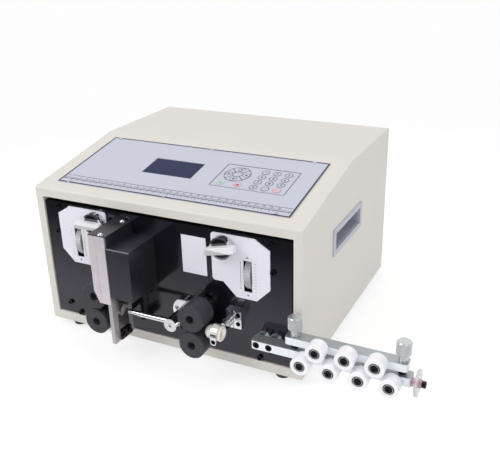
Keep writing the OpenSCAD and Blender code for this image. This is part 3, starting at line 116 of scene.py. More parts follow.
class Finish:
    """A procedural surface on the object's own coordinates, with all sizes in millimetres.

    Its two close colours drift into each other over about drift, and its roughness drifts between
    two values over about rough_drift. A bump of soft grains, depth high, lies grain apart, and
    stretch draws the grains out along an axis, as brushing does. Further sockets of the shader are
    given by name, with _ for a blank.
    """

    def __init__(
        self, name, colours, drift, rough, rough_drift, grain, depth, metal=0.0, stretch=None, **sockets
    ):
        self.material = bpy.data.materials.new(name)
        self.material.use_nodes = True
        self.tree = self.material.node_tree
        self.tree.nodes.clear()
        self.shader = add(self.tree, "ShaderNodeBsdfPrincipled", {"Metallic": metal})
        add(self.tree, "ShaderNodeOutputMaterial", {"Surface": self.shader.outputs["BSDF"]})
        self.where = add(self.tree, "ShaderNodeTexCoord").outputs["Object"]
        self.drift_colour(colours, drift)
        self.drift_roughness(rough, rough_drift)
        self.raise_grain(grain, depth, stretch)
        for key, value in sockets.items():
            self.shader.inputs[key.replace("_", " ")].default_value = value

    def drift_colour(self, colours, size):
        cloud = add(
            self.tree,
            "ShaderNodeTexNoise",
            {"Vector": self.where, "Scale": 1 / MM / size, "Detail": COLOUR_DETAIL},
        )
        low, high = map(colour, colours)
        first, second, out = MIX_COLOUR
        mix = add(
            self.tree,
            "ShaderNodeMix",
            {0: cloud.outputs["Fac"], first: low, second: high},
            data_type="RGBA",
        )
        self.tree.links.new(mix.outputs[out], self.shader.inputs["Base Color"])

    def drift_roughness(self, rough, size):
        cloud = add(
            self.tree,
            "ShaderNodeTexNoise",
            {"Vector": self.where, "Scale": 1 / MM / size, "Detail": ROUGH_DETAIL},
        )
        ranged = add(
            self.tree,
            "ShaderNodeMapRange",
            {
                "Value": cloud.outputs["Fac"],
                "From Min": NOISE_LOW,
                "From Max": NOISE_HIGH,
                "To Min": rough[0],
                "To Max": rough[1],
            },
        )
        self.tree.links.new(ranged.outputs["Result"], self.shader.inputs["Roughness"])

    def raise_grain(self, size, depth, stretch):
        where = self.where
        if stretch:
            where = add(self.tree, "ShaderNodeMapping", {"Vector": where, "Scale": stretch}).outputs["Vector"]
        cloud = add(
            self.tree,
            "ShaderNodeTexNoise",
            {"Vector": where, "Scale": 1 / MM / size, "Detail": GRAIN_DETAIL},
        )
        bump = add(
            self.tree,
            "ShaderNodeBump",
            {"Height": cloud.outputs["Fac"], "Distance": depth * MM, "Strength": 1.0},
        )
        self.tree.links.new(bump.outputs["Normal"], self.shader.inputs["Normal"])

    def compared(self, axis, edge, operation):
        """A mask from the coordinate along axis, set against a place in metres."""
        part = add(self.tree, "ShaderNodeSeparateXYZ", {0: self.where}).outputs["XYZ".index(axis)]
        return add(self.tree, "ShaderNodeMath", {0: part, 1: edge}, operation=operation).outputs[0]

    def beyond(self, axis, edge):
        """A mask that is 1 where the coordinate along axis is above edge."""
        return self.compared(axis, edge, "GREATER_THAN")

    def before(self, axis, edge):
        """A mask that is 1 where the coordinate along axis is below edge."""
        return self.compared(axis, edge, "LESS_THAN")

    def around(self, axis, middle, radius):
        """A mask that is 1 up to radius, in millimetres, from the line through middle along axis."""
        across = [0.0 if letter == axis else 1.0 for letter in "XYZ"]
        offset = add(
            self.tree, "ShaderNodeVectorMath", {0: self.where, 1: middle}, operation="SUBTRACT"
        )
        flat = add(
            self.tree, "ShaderNodeVectorMath", {0: offset.outputs[0], 1: across}, operation="MULTIPLY"
        )
        distance = add(self.tree, "ShaderNodeVectorMath", {0: flat.outputs[0]}, operation="LENGTH")
        return add(
            self.tree,
            "ShaderNodeMath",
            {0: distance.outputs["Value"], 1: radius * MM},
            operation="LESS_THAN",
        ).outputs[0]

    def both(self, one, other):
        """A mask that is 1 where both masks are."""
        return add(self.tree, "ShaderNodeMath", {0: one, 1: other}, operation="MULTIPLY").outputs[0]

    def change(self, mask, **sockets):
        """Where the mask is 1, the shader's sockets take these values instead of what they have."""
        for key, value in sockets.items():
            held = self.shader.inputs[key.replace("_", " ")]
            is_colour = held.type == "RGBA"
            first, second, out = MIX_COLOUR if is_colour else MIX_VALUE
            mix = add(self.tree, "ShaderNodeMix", {0: mask}, data_type="RGBA" if is_colour else "FLOAT")
            if held.links:
                self.tree.links.new(held.links[0].from_socket, mix.inputs[first])
            else:
                mix.inputs[first].default_value = held.default_value
            mix.inputs[second].default_value = value
            self.tree.links.new(mix.outputs[out], held)


# powder coated sheet steel: satin ivory with the fine orange peel that powder leaves
paint = Finish(
    "ivory_powder_coat", ("#DBD7CF", "#E0DCD5"), drift=240,
    rough=(0.38, 0.46), rough_drift=60, grain=1.6, depth=0.035,
)
# the two black coats give what they mirror a violet cast
VIOLET_CAST = (0.86, 0.83, 1.0, 1.0)
# polished black anodised plate: near mirror, a breath of dust lifts it from pure black
plate = Finish(
    "black_polished_plate", ("#100F15", "#15141B"), drift=40,
    rough=(0.09, 0.15), rough_drift=25, grain=3.0, depth=0.004,
    Specular_IOR_Level=0.66, Specular_Tint=VIOLET_CAST,
)
# textured black paint on the guard: satin with a fine wrinkle
wrinkle = Finish(
    "black_wrinkle_paint", ("#1C1B24", "#26252F"), drift=30,
    rough=(0.28, 0.38), rough_drift=12, grain=0.9, depth=0.03,
    Specular_IOR_Level=0.9, Specular_Tint=VIOLET_CAST,
)
# black oxide steel: screws, axles and the upper seat, dull and slightly oily
oxide = Finish(
    "black_oxide_steel", ("#101012", "#1B1B1E"), drift=6,
    rough=(0.30, 0.46), rough_drift=4, grain=0.5, depth=0.02, metal=0.55,
)
# moulded rubber: dense matte black that scuffs to grey
rubber = Finish(
    "black_rubber", ("#302F38", "#3C3A44"), drift=9,
    rough=(0.52, 0.68), rough_drift=5, grain=0.7, depth=0.05,
)
# printed polyester film: smooth pale lilac with a soft even sheen
film = Finish(
    "lilac_polyester_film", ("#C2C4D3", "#C7C9D7"), drift=180,
    rough=(0.34, 0.42), rough_drift=70, grain=1.0, depth=0.004,
)
# printed polyester on aluminium: the whiter labels around the gap wheels
label = Finish(
    "white_label_plate", ("#E8E7F2", "#EEEDF7"), drift=60,
    rough=(0.36, 0.44), rough_drift=30, grain=1.0, depth=0.004,
)
# display glass over a dark blue liquid crystal layer, with a coat that dulls reflections
glass = Finish(
    "navy_display_glass", ("#1B2246", "#242C52"), drift=22,
    rough=(0.10, 0.16), rough_drift=30, grain=4.0, depth=0.002, IOR=1.2,
)
# ground tool steel: fine upright grinding lines, a little warm
ground = Finish(
    "ground_steel", ("#DBD1D6", "#E8E0E5"), drift=14,
    rough=(0.36, 0.48), rough_drift=6, grain=0.5, depth=0.02, metal=0.4, stretch=(1, 1, 0.06),
)
# turned steel shafts and gears: mid grey and glossy, with faint lines along the shafts
turned = Finish(
    "turned_steel", ("#77787C", "#8B8C90"), drift=12,
    rough=(0.20, 0.30), rough_drift=6, grain=0.5, depth=0.01, metal=1.0, stretch=(1, 0.1, 1),
)
# hardened blade steel, lapped: an even grey with a soft mirror
lapped = Finish(
    "lapped_blade_steel", ("#8E8C8A", "#A3A19F"), drift=8,
    rough=(0.24, 0.34), rough_drift=4, grain=0.4, depth=0.006, metal=1.0,
)
# finely knurled gap wheels: the crossed cuts scatter light, so the steel looks soft and grey
wheel = Finish(
    "knurled_wheel_steel", ("#B4B5B7", "#CACBCD"), drift=5,
    rough=(0.44, 0.56), rough_drift=4, grain=0.4, depth=0.03, metal=0.5,
)
# satin nickel plate on the thumbscrews: a pale grey that blurs what it mirrors
nickel = Finish(
    "satin_nickel", ("#C4C8CB", "#D8DCDF"), drift=8,
    rough=(0.28, 0.40), rough_drift=4, grain=0.5, depth=0.02, metal=0.7,
)
# turned nylon: white, faintly translucent, with tool rings lost in a soft sheen
nylon = Finish(
    "white_turned_nylon", ("#F8F7FF", "#FCFBFF"), drift=14,
    rough=(0.34, 0.44), rough_drift=6, grain=0.8, depth=0.012,
    Subsurface_Weight=0.08, Subsurface_Radius=(0.002, 0.002, 0.002),
)
# glazed alumina eyelet: warm bone white under a clear glaze
alumina = Finish(
    "glazed_alumina", ("#F6EEE4", "#FCF6EE"), drift=7,
    rough=(0.12, 0.20), rough_drift=5, grain=2.0, depth=0.006, Coat_Weight=0.4,
)
# moulded black nylon of the fan and the supply socket: deep black, barely shiny
moulded = Finish(
    "black_moulded_nylon", ("#131416", "#1B1C1F"), drift=14,
    rough=(0.38, 0.50), rough_drift=6, grain=0.8, depth=0.03,
)
# moulded red plastic of the rocker switch: deep red and glossy
rocker = Finish(
    "red_rocker", ("#8E0F10", "#A01416"), drift=8,
    rough=(0.22, 0.30), rough_drift=6, grain=1.0, depth=0.006,
)
# folded zinc coated sheet under and inside the cabinet: grey metal with a loose spangle
sheet_zinc = Finish(
    "zinc_coated_sheet", ("#A9ADB0", "#BCC0C2"), drift=9,
    rough=(0.30, 0.44), rough_drift=7, grain=1.2, depth=0.02, metal=0.9,
)
# painted motor bodies: black with a slight orange peel
motor = Finish(
    "black_motor_paint", ("#17181A", "#1E1F22"), drift=20,
    rough=(0.36, 0.48), rough_drift=8, grain=1.2, depth=0.04, metal=0.1,
)
# milled aluminium of the carriages and frames: pale and bright, with cutter lines from side to side
milled = Finish(
    "milled_aluminium", ("#BFC1C3", "#CDCFD0"), drift=16,
    rough=(0.24, 0.36), rough_drift=6, grain=0.5, depth=0.012, metal=1.0, stretch=(0.1, 1, 1),
)
# ground race of the straightener's bearings: a fine bright ring round each bolt
race_steel = Finish(
    "ground_bearing_ring", ("#A9AAAE", "#C6C7CB"), drift=4,
    rough=(0.24, 0.34), rough_drift=3, grain=0.5, depth=0.01, metal=0.8,
)

# printing inks: flat, a little glossier than the film they lie on
INK = dict(drift=30, rough=(0.30, 0.38), rough_drift=20, grain=1.0, depth=0.002)
ink_dark = Finish("violet_black_ink", ("#1D1B36", "#262442"), **INK)
ink_grey = Finish("slate_ink", ("#3A3A50", "#45455C"), **INK)
ink_green = Finish("green_ink", ("#74AE90", "#7FB79A"), **INK)
ink_red = Finish("red_ink", ("#C8484E", "#D25258"), **INK)
pale_red = Finish("pale_red_ink", ("#DFBEC6", "#E3C5CC"), **INK)
pale_green = Finish("pale_green_ink", ("#BFD3D0", "#C5D8D5"), **INK)

# printed circuit board: green solder mask, darker parts standing on it
# the board's face lies at this height over the cabinet's lower edge
BOARD_TOP = 13.65
board = Finish(
    "green_circuit_board", ("#0F4B2A", "#145A33"), drift=5,
    rough=(0.24, 0.36), rough_drift=4, grain=0.8, depth=0.02,
)
board.change(board.beyond("Z", shell_low.z + BOARD_TOP * MM), Base_Color=colour("#191A1C"))

# moulded pale grey ABS of the handle cups: soft and even, with painted shade that darkens the pocket
# the pocket begins this far in from the cabinet's side
POCKET_IN = 3.0
grip = Finish(
    "grey_moulded_abs", ("#B9BBC8", "#C2C4D0"), drift=40,
    rough=(0.40, 0.50), rough_drift=10, grain=0.8, depth=0.02,
)
painted_pocket_shade = grip.both(
    grip.beyond("X", shell_low.x + POCKET_IN * MM),
    grip.before("X", shell_high.x - POCKET_IN * MM),
)
# painted shade: the pocket is coloured darker than the rim round it
grip.change(painted_pocket_shade, Base_Color=colour("#A9AAB5"))

# chrome plate: mirror bright with the faint waviness of buffing
CHROME = dict(
    colours=("#D9DADE", "#E6E7EA"), drift=20, rough=(0.05, 0.12), rough_drift=8,
    grain=6.0, depth=0.012, metal=1.0,
)
chrome = Finish("polished_chrome", **CHROME)

# the inlet clamp: the same chrome, with black socket screws in its block and in the ring's ear
BLOCK_SCREWS, EAR_SCREW = ((301.0, 61.3), (301.0, 73.3)), (287.5, 54.9)
# the ear's screw shows only in front of EAR_FRONT
CLAMP_SCREW_R, EAR_FRONT = 2.9, -38.0
clamp_chrome = Finish("chrome_clamp_black_screws", **CHROME)
for screw_x, screw_z in (*BLOCK_SCREWS, EAR_SCREW):
    screw = clamp_chrome.around("Y", place(screw_x, 0, screw_z), CLAMP_SCREW_R)
    if (screw_x, screw_z) == EAR_SCREW:
        screw = clamp_chrome.both(screw, clamp_chrome.before("Y", place(0, EAR_FRONT, 0).y))
    clamp_chrome.change(screw, Base_Color=colour("#141416"), Roughness=0.4)

# the release levers: chrome with painted reflections, the grip painted a bright satin white for its glare and
# the round face painted dark for the dark room it mirrors, whose turned edge stays plain chrome and catches
# the light
LEVER_XS, LEVER_Z, FACE_R = (283.0, 95.5), 162.5, 12.3
# depths behind the grip's front: just before the round face, and just past it
GRIP_END, FACE_PASSED = 8.9, 9.3
# the grip is wedge shaped: the band below this height turns away from the light and gets a painted shade
WEDGE_EDGE = LEVER_Z - 0.6
lever_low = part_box("out_lever")[0]
chrome_lever = Finish("chromed_release_lever", **(CHROME | {"rough": (0.06, 0.14)}))
in_front = chrome_lever.before("Y", lever_low.y + FACE_PASSED * MM)
for lever_x in LEVER_XS:
    painted_dark_face = chrome_lever.around("Y", place(lever_x, 0, LEVER_Z), FACE_R)
    # painted reflection: the round face's chrome is coloured dark grey
    chrome_lever.change(chrome_lever.both(painted_dark_face, in_front), Base_Color=colour("#5A595F"))
bar = chrome_lever.before("Y", lever_low.y + GRIP_END * MM)
# painted highlight: the grip is coloured near white, less metallic and rougher, for the glare it mirrors
chrome_lever.change(bar, Base_Color=colour("#F4F4F8"), Metallic=0.2, Roughness=0.32)
painted_shade_band = chrome_lever.before("Z", place(0, 0, WEDGE_EDGE).z)
# painted shade: the grip's lower band is coloured greyer
chrome_lever.change(chrome_lever.both(bar, painted_shade_band), Base_Color=colour("#C6C5CB"))

# bright zinc plate on ground bar: pale, slightly blue, softly blurred, with painted shade that greys the top
# faces
ZINC = dict(
    colours=("#EEF6FE", "#F7FBFF"), drift=26, rough=(0.28, 0.34), rough_drift=9,
    grain=0.8, depth=0.001, metal=0.15, stretch=(0.12, 1, 1),
)
# the top faces' painted shade: a greyer, more metallic zinc than the front
PAINTED_TOP_SHADE = dict(Base_Color=colour("#B4BBBF"), Metallic=0.75)
# how far the top's painted shade reaches down the bar's sides
TOP_BAND = 0.3
zinc = Finish("bright_zinc_bar", **ZINC)
# painted shade: the slide bar's top faces are coloured greyer than its front
zinc.change(zinc.beyond("Z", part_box("slide_bar")[1].z - TOP_BAND * MM), **PAINTED_TOP_SHADE)

# the straightener's base bar: the same zinc with dark springs standing on it
# the springs start at this height over the bar's foot; the posts rise above it too, but farther back
SPRING_FOOT, POSTS_BEHIND = 12.7, 16.5
base_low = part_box("base_bar")[0]
bars = Finish("zinc_bar_with_springs", **ZINC)
# painted shade on the base bar's top faces, as on the slide bar
bars.change(bars.beyond("Z", base_low.z + (SPRING_FOOT - TOP_BAND) * MM), **PAINTED_TOP_SHADE)
springs = bars.both(
    bars.beyond("Z", base_low.z + SPRING_FOOT * MM),
    bars.before("Y", base_low.y + POSTS_BEHIND * MM),
)
bars.change(springs, Base_Color=colour("#141416"), Roughness=0.45)

# ground strip with a black oxide clamp screwed to its right side
# the clamp is all that lies right of the blade, less this overlap, and below the blade's top
CLAMP_OVERLAP = 0.2
blade_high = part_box("lower_blade")[1]
strip = Finish(
    "ground_strip_black_clamp", ("#B3ACAE", "#C3BDBF"), drift=12,
    rough=(0.34, 0.46), rough_drift=6, grain=0.5, depth=0.02, metal=0.5, stretch=(1, 1, 0.06),
)
clamp = strip.both(
    strip.beyond("X", blade_high.x - CLAMP_OVERLAP * MM),
    strip.before("Z", blade_high.z),
)
strip.change(clamp, Base_Color=colour("#151517"), Metallic=0.4)

# clear acrylic guide disc on a pink nylon hub: milky and see-through round a soft pink middle
HUB_R = 5.2
disc_low, disc_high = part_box("guide_disc")
disc = Finish(
    "clear_disc_pink_hub", ("#E8E6E8", "#F0EEF0"), drift=8,
    rough=(0.18, 0.26), rough_drift=6, grain=1.0, depth=0.006, Transmission_Weight=0.45,
)
disc.change(disc.around("X", (disc_low + disc_high) / 2, HUB_R), Base_Color=colour("#E8BDC6"))

# what each finish is on
WEAR = {
    paint: ["cabinet_shell", "rear_panel"],
    plate: ["front_plate"],
    oxide: ["case_screws", "upper_seat", "lower_axles", "upper_axles"],
    rubber: ["feet", "in_upper_roller", "in_lower_roller", "out_upper_roller", "out_lower_roller"],
    wrinkle: ["cutter_guard"],
    film: ["keypad_overlay"],
    label: ["gap_plates"],
    glass: ["lcd_window"],
    chrome: ["cover_screws", "swing_guide"],
    clamp_chrome: ["guide_clamp"],
    chrome_lever: ["in_lever", "out_lever"],
    zinc: ["slide_bar"],
    bars: ["base_bar"],
    ground: ["cutter_block"],
    strip: ["lower_seat"],
    turned: ["cutter_pinion", "in_upper_shaft", "in_lower_shaft", "out_upper_shaft", "out_lower_shaft"],
    lapped: ["upper_blade", "lower_blade"],
    wheel: ["in_wheel", "out_wheel"],
    nickel: ["thumbscrew_left", "thumbscrew_right"],
    nylon: LOWER_ROLLERS + UPPER_ROLLERS,
    alumina: ["eyelet"],
    grip: ["side_handles"],
    moulded: ["fan_frame", "fan_rotor", "power_inlet"],
    rocker: ["power_switch"],
    sheet_zinc: ["base_pan", "power_supply"],
    motor: ["feed_motors", "cutter_motor"],
    milled: ["feed_frames", "in_yoke", "out_yoke", "in_carriage", "out_carriage"],
    board: ["control_board"],
    disc: ["guide_disc"],
}
for finish, names in WEAR.items():
    for name in names:
        nodes[name].data.materials.clear()
        nodes[name].data.materials.append(finish.material)

# Modelling by hand tools

# shares of a print's size: a line's eased corner, an arrow's blunt corner, a numeral's added weight
LINE_EASE, ARROW_BLUNT, NUMERAL_WEIGHT = 0.2, 0.12, 0.018


def fresh(name):
    """The object just added, under its name."""
    made = bpy.context.object
    made.name = name
    return made


def deselect():
    for selected in bpy.context.selected_objects:
        selected.select_set(False)


def only(obj):
    deselect()
    obj.select_set(True)
    bpy.context.view_layer.objects.active = obj


def settled(obj):
    """The object with its place, turn and size moved into its mesh."""
    only(obj)
    bpy.ops.object.transform_apply(location=True, rotation=True, scale=True)
    return obj


def apply_all(obj):
    """Apply the modifiers in order."""
    only(obj)
    for modifier in list(obj.modifiers):
        bpy.ops.object.modifier_apply(modifier=modifier.name)


def repeated(obj, count, step):
    """The object as a row of count copies in one mesh, each a step from the last."""
    row = obj.modifiers.new("row", "ARRAY")
    row.count = count
    row.use_relative_offset = False
    row.use_constant_offset = True
    row.constant_offset_displace = step
    apply_all(obj)
    return obj


def joined(objs, name):
    """Several objects as one."""
    deselect()
    for obj in objs:
        obj.select_set(True)
    bpy.context.view_layer.objects.active = objs[0]
    bpy.ops.object.join()
    return fresh(name)


def hand_over(obj, matrix, finish, body="cabinet"):
    """Put a finished drawing in its place in the mesh, give it its material and its body."""
    obj.data.transform(matrix @ obj.matrix_world)
    obj.matrix_world = Matrix.Identity(4)
    obj.data.materials.clear()
    obj.data.materials.append(finish.material)
    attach(obj, body)


def printed(name, corner, segments, hollow, thick):
    """The flat shape just added becomes a print.

    Its corners are rounded. With hollow it is inset by that width and its middle taken out. At
    last it is extruded upwards.
    """
    obj = settled(fresh(name))
    bpy.ops.object.mode_set(mode="EDIT")
    bpy.ops.mesh.select_all(action="SELECT")
    if corner:
        bpy.ops.mesh.bevel(offset=corner, segments=segments, affect="VERTICES")
        bpy.ops.mesh.select_all(action="SELECT")
    if hollow:
        bpy.ops.mesh.inset(thickness=hollow)
        bpy.ops.mesh.delete(type="FACE")
        bpy.ops.mesh.select_all(action="SELECT")
    bpy.ops.mesh.extrude_region_move(TRANSFORM_OT_translate={"value": (0, 0, thick)})
    bpy.ops.mesh.select_all(action="SELECT")
    bpy.ops.mesh.normals_make_consistent(inside=False)
    bpy.ops.object.mode_set(mode="OBJECT")
    return obj


def rectangle(name, u_span, v_span, base, corner, segments, hollow=0.0, thick=PRINT_T):
    """A printed rectangle between two values of u and two of v."""
    (u0, u1), (v0, v1) = u_span, v_span
    bpy.ops.mesh.primitive_plane_add(size=1, location=((u0 + u1) / 2, (v0 + v1) / 2, base))
    bpy.context.object.scale = (u1 - u0, v1 - v0, 1)
    return printed(name, corner, segments, hollow, thick)


def outline(name, u_span, v_span, width, base, corner=1.5):
    """A thin rectangular line with round corners."""
    return rectangle(name, u_span, v_span, base, corner, segments=4, hollow=width)


def line(name, u_span, v_span, base):
    """A printed line with slightly eased corners."""
    width = min(u_span[1] - u_span[0], v_span[1] - v_span[0])
    return rectangle(name, u_span, v_span, base, corner=width * LINE_EASE, segments=1)


def ring(name, u, v, outer, width, base, sides=48):
    """A thin printed ring."""
    bpy.ops.mesh.primitive_circle_add(vertices=sides, radius=outer, fill_type="NGON", location=(u, v, base))
    return printed(name, corner=0.0, segments=1, hollow=width, thick=PRINT_T)


def arrow(name, u, v, size, turn, base):
    """A printed triangle with slightly blunt corners, pointing up the drawing when turn is 0."""
    bpy.ops.mesh.primitive_circle_add(
        vertices=3, radius=size, fill_type="NGON", location=(u, v, base), rotation=(0, 0, turn)
    )
    return printed(name, corner=size * ARROW_BLUNT, segments=2, hollow=0.0, thick=PRINT_T)


def numeral(text, u, v, height, base):
    """A printed number, centred on its place and a little bolder than the plain font."""
    bpy.ops.object.text_add(location=(u, v, base))
    letters = bpy.context.object.data
    letters.body = text
    letters.size = height
    letters.align_x = "CENTER"
    letters.align_y = "CENTER"
    letters.extrude = PRINT_T / 2
    letters.offset = height * NUMERAL_WEIGHT
    only(bpy.context.object)
    bpy.ops.object.convert(target="MESH")
    return settled(bpy.context.object)


# the turns of an arrow
UP, LEFT, RIGHT, DOWN = 0, math.pi / 2, -math.pi / 2, math.pi
deselect()

# The printed control face: the border of the film, the lines round the keys and the display
FILM_U, FILM_V = (22.0, CABINET_W - 23.5), (20.0, 157.5)
BORDER_IN, BORDER_TOP_IN, BORDER_LINE = 0.4, 0.6, 2.5
border = outline(
    "film_border",
    (FILM_U[0] + BORDER_IN, FILM_U[1] - BORDER_IN),
    (FILM_V[0] + BORDER_IN, FILM_V[1] - BORDER_TOP_IN),
    BORDER_LINE,
    FILM_T,
)
hand_over(border, SLOPE_PLACE, ink_dark)

KEYPAD_U, KEYPAD_V, KEYPAD_LINE = (229.0, 334.0), (64.0, 123.6), 1.6
keypad = outline("keypad_line", KEYPAD_U, KEYPAD_V, KEYPAD_LINE, FILM_T, corner=2.0)
hand_over(keypad, SLOPE_PLACE, ink_dark)

LCD_U, LCD_V, LCD_W, LCD_H = 161.0, 93.0, 73.5, 39.5
BEZEL_OUT, BEZEL_LINE = 0.9, 0.8
bezel = outline(
    "display_bezel",
    (LCD_U - LCD_W / 2 - BEZEL_OUT, LCD_U + LCD_W / 2 + BEZEL_OUT),
    (LCD_V - LCD_H / 2 - BEZEL_OUT, LCD_V + LCD_H / 2 + BEZEL_OUT),
    BEZEL_LINE,
    FILM_T,
    corner=1.0,
)
hand_over(bezel, SLOPE_PLACE, ink_dark)

# The centimetre rule along the front edge: ticks hang from its base line, numbers stand over it
RULE_U, RULE_V, RULE_CM, CM = 40.0, 30.0, 31, 10.0
# the rule's long lines end this far inside the film's edges
RULE_MARGIN = 3
NUMBER_V, NUMBER_H = 36.4, 4.2
# kind, count, distance apart, height and width of the ticks; name and height of the three lines
RULE_TICKS = (("cm", RULE_CM, CM, 3.0, 0.8), ("half", RULE_CM * 2 - 1, CM / 2, 1.8, 0.6))
RULE_LINES = (("base", (RULE_V, RULE_V + 1.2)), ("mid", (33.2, 33.8)), ("top", (39.0, 39.8)))
rule = []
for name, count, pitch, tall, wide in RULE_TICKS:
    tick = line(f"tick_{name}", (RULE_U - wide / 2, RULE_U + wide / 2), (RULE_V - tall, RULE_V), FILM_T)
    rule.append(repeated(tick, count, (pitch, 0, 0)))
for name, v_span in RULE_LINES:
    u_span = (FILM_U[0] + RULE_MARGIN, FILM_U[1] - RULE_MARGIN)
    rule.append(line(f"rule_{name}", u_span, v_span, FILM_T))
hand_over(joined(rule, "centimetre_rule"), SLOPE_PLACE, ink_dark)
numbers = [numeral(str(i), RULE_U + i * CM, NUMBER_V, NUMBER_H, FILM_T) for i in range(1, RULE_CM)]
hand_over(joined(numbers, "rule_numbers"), SLOPE_PLACE, ink_grey)

# The keys: figures, outlines and the four way cluster
COLUMNS, ROWS = (288.4, 304.4, 320.4), (112.4, 99.4, 86.6, 73.4)
KEY_R, KEY_LINE, FIGURE_H = 5.3, 0.8, 6.6
figures, outlines = [], []
for index, figure in enumerate("1234567890."):
    u, v = COLUMNS[index % 3], ROWS[index // 3]
    figures.append(numeral(figure, u, v, FIGURE_H, KEY_TOP))
    outlines.append(ring(f"key_ring_{index}", u, v, KEY_R, KEY_LINE, KEY_TOP))
hand_over(joined(figures, "key_figures"), SLOPE_PLACE, ink_dark)

CLUSTER_U, CLUSTER_V, CLUSTER_R, CLUSTER_LINE, INNER_R = 254.3, 98.8, 18.0, 0.9, 7.0
THIN_LINE, SPOKE_SPAN, SPOKE_HALF = 0.6, (7.2, 17.6), 0.35
ARROW_KEY_R, ARROW_SIZE = 4.9, 2.6
ARROW_KEYS = ((-12.6, 0, LEFT), (0, 12.2, UP), (12.6, 0, RIGHT), (0, -12.2, DOWN))
outlines.append(ring("cluster_ring", CLUSTER_U, CLUSTER_V, CLUSTER_R, CLUSTER_LINE, KEY_TOP, sides=96))
outlines.append(ring("cluster_inner", CLUSTER_U, CLUSTER_V, INNER_R, THIN_LINE, KEY_TOP))
for quarter in range(4):
    spoke = line(f"cluster_spoke_{quarter}", SPOKE_SPAN, (-SPOKE_HALF, SPOKE_HALF), KEY_TOP)
    spoke.rotation_euler.z = math.pi / 4 + quarter * math.pi / 2
    spoke.location = (CLUSTER_U, CLUSTER_V, 0)
    outlines.append(settled(spoke))
for index, (right_by, up_by, turn) in enumerate(ARROW_KEYS):
    u, v = CLUSTER_U + right_by, CLUSTER_V + up_by
    outlines.append(ring(f"arrow_ring_{index}", u, v, ARROW_KEY_R, THIN_LINE, KEY_TOP))
    outlines.append(arrow(f"arrow_{index}", u, v, ARROW_SIZE, turn, KEY_TOP))
hand_over(joined(outlines, "key_outlines"), SLOPE_PLACE, ink_dark)

# The start, stop and clear keys: a pale fill, a coloured outline and a mark
START, STOP, CLEAR = (242.5, 73.2), (266.6, 73.2), (COLUMNS[2], ROWS[3])
# a fill is a ring so wide that its small hole hides under the mark
FILL_R, FILL_WIDE, ROUND_R, ROUND_LINE = 4.7, 4.2, 5.2, 0.7
start_fill, stop_fill, clear_fill = [
    ring(f"{name}_fill", *spot, FILL_R, FILL_WIDE, KEY_TOP)
    for name, spot in (("start", START), ("stop", STOP), ("clear", CLEAR))
]
hand_over(start_fill, SLOPE_PLACE, pale_green)
hand_over(joined([stop_fill, clear_fill], "stop_fills"), SLOPE_PLACE, pale_red)
# the start arrow's size, and how far left of the key's middle it is drawn
START_MARK, MARK_LEFT = 2.9, 0.4
green = [
    ring("start_ring", *START, ROUND_R, ROUND_LINE, KEY_TOP),
    arrow("start_mark", START[0] - MARK_LEFT, START[1], START_MARK, RIGHT, KEY_TOP),
]
hand_over(joined(green, "start_key"), SLOPE_PLACE, ink_green)
STOP_HALF, DASH_LONG, DASH_HALF = 2.2, 2.6, 0.5
red = [
    ring("stop_ring", *STOP, ROUND_R, ROUND_LINE, KEY_TOP),
    line(
        "stop_mark",
        (STOP[0] - STOP_HALF, STOP[0] + STOP_HALF),
        (STOP[1] - STOP_HALF, STOP[1] + STOP_HALF),
        KEY_TOP,
    ),
    ring("clear_ring", *CLEAR, ROUND_R, ROUND_LINE, KEY_TOP),
    line(
        "clear_mark",
        (CLEAR[0] - DASH_LONG, CLEAR[0] + DASH_LONG),
        (CLEAR[1] - DASH_HALF, CLEAR[1] + DASH_HALF),
        KEY_TOP,
    ),
]
hand_over(joined(red, "stop_keys"), SLOPE_PLACE, ink_red)

# The gap scales on the front labels: ticks on the wheel's outer side, a double arrow on the other,
# and a small arrow over and under the wheel
# each wheel's station, its middle, and 1 or -1 where its ticks are on the right or the left
WHEELS = (("inlet", 313.8, 1), ("outlet", 62.8, -1))
TICK_NEAR, TICK_FAR, TICK_V, TICK_PITCH, TICK_COUNT = 9.2, 11.4, (108.6, 109.0), 4.1, 10
MORE_V, LESS_V, WHEEL_ARROW = 152.2, 102.2, 1.7
SPAN_OUT, SPAN_HALF, SPAN_V, SPAN_ARROW, ARROW_PAST = 9.4, 0.2, (110.5, 144.5), 1.0, 0.5
for side, wheel_u, out in WHEELS:
    tick_u = sorted((wheel_u + out * TICK_NEAR, wheel_u + out * TICK_FAR))
    tick = line(f"{side}_tick", tick_u, TICK_V, -LABEL_FACE)
    span_u = wheel_u - out * SPAN_OUT
    marks = [
        repeated(tick, TICK_COUNT, (0, TICK_PITCH, 0)),
        arrow(f"{side}_more", wheel_u, MORE_V, WHEEL_ARROW, UP, -LABEL_FACE),
        arrow(f"{side}_less", wheel_u, LESS_V, WHEEL_ARROW, DOWN, -LABEL_FACE),
        line(f"{side}_span", (span_u - SPAN_HALF, span_u + SPAN_HALF), SPAN_V, -LABEL_FACE),
        arrow(f"{side}_span_top", span_u, SPAN_V[1] + ARROW_PAST, SPAN_ARROW, UP, -LABEL_FACE),
        arrow(f"{side}_span_foot", span_u, SPAN_V[0] - ARROW_PAST, SPAN_ARROW, DOWN, -LABEL_FACE),
    ]
    hand_over(joined(marks, f"{side}_gap_scale"), FRONT_PLACE, ink_dark)

# A bare white plate between the guard and the inlet label
BARE_U, BARE_V, BARE_T = (222.95, 257.45), (116.0, 167.0), 0.2
bare = rectangle("bare_plate", BARE_U, BARE_V, -PLATE_FACE, corner=0.8, segments=3, thick=BARE_T)
hand_over(bare, FRONT_PLACE, label)

# Bearing races and socket bolts in the straightener's rollers
RACE_R, RACE_ROUND = 5.0, 0.55
BOLT_R, BOLT_DEEP, BOLT_EDGE, SOCKET_R, SOCKET_DEEP = 3.3, 1.2, 0.3, 1.7, 1.6
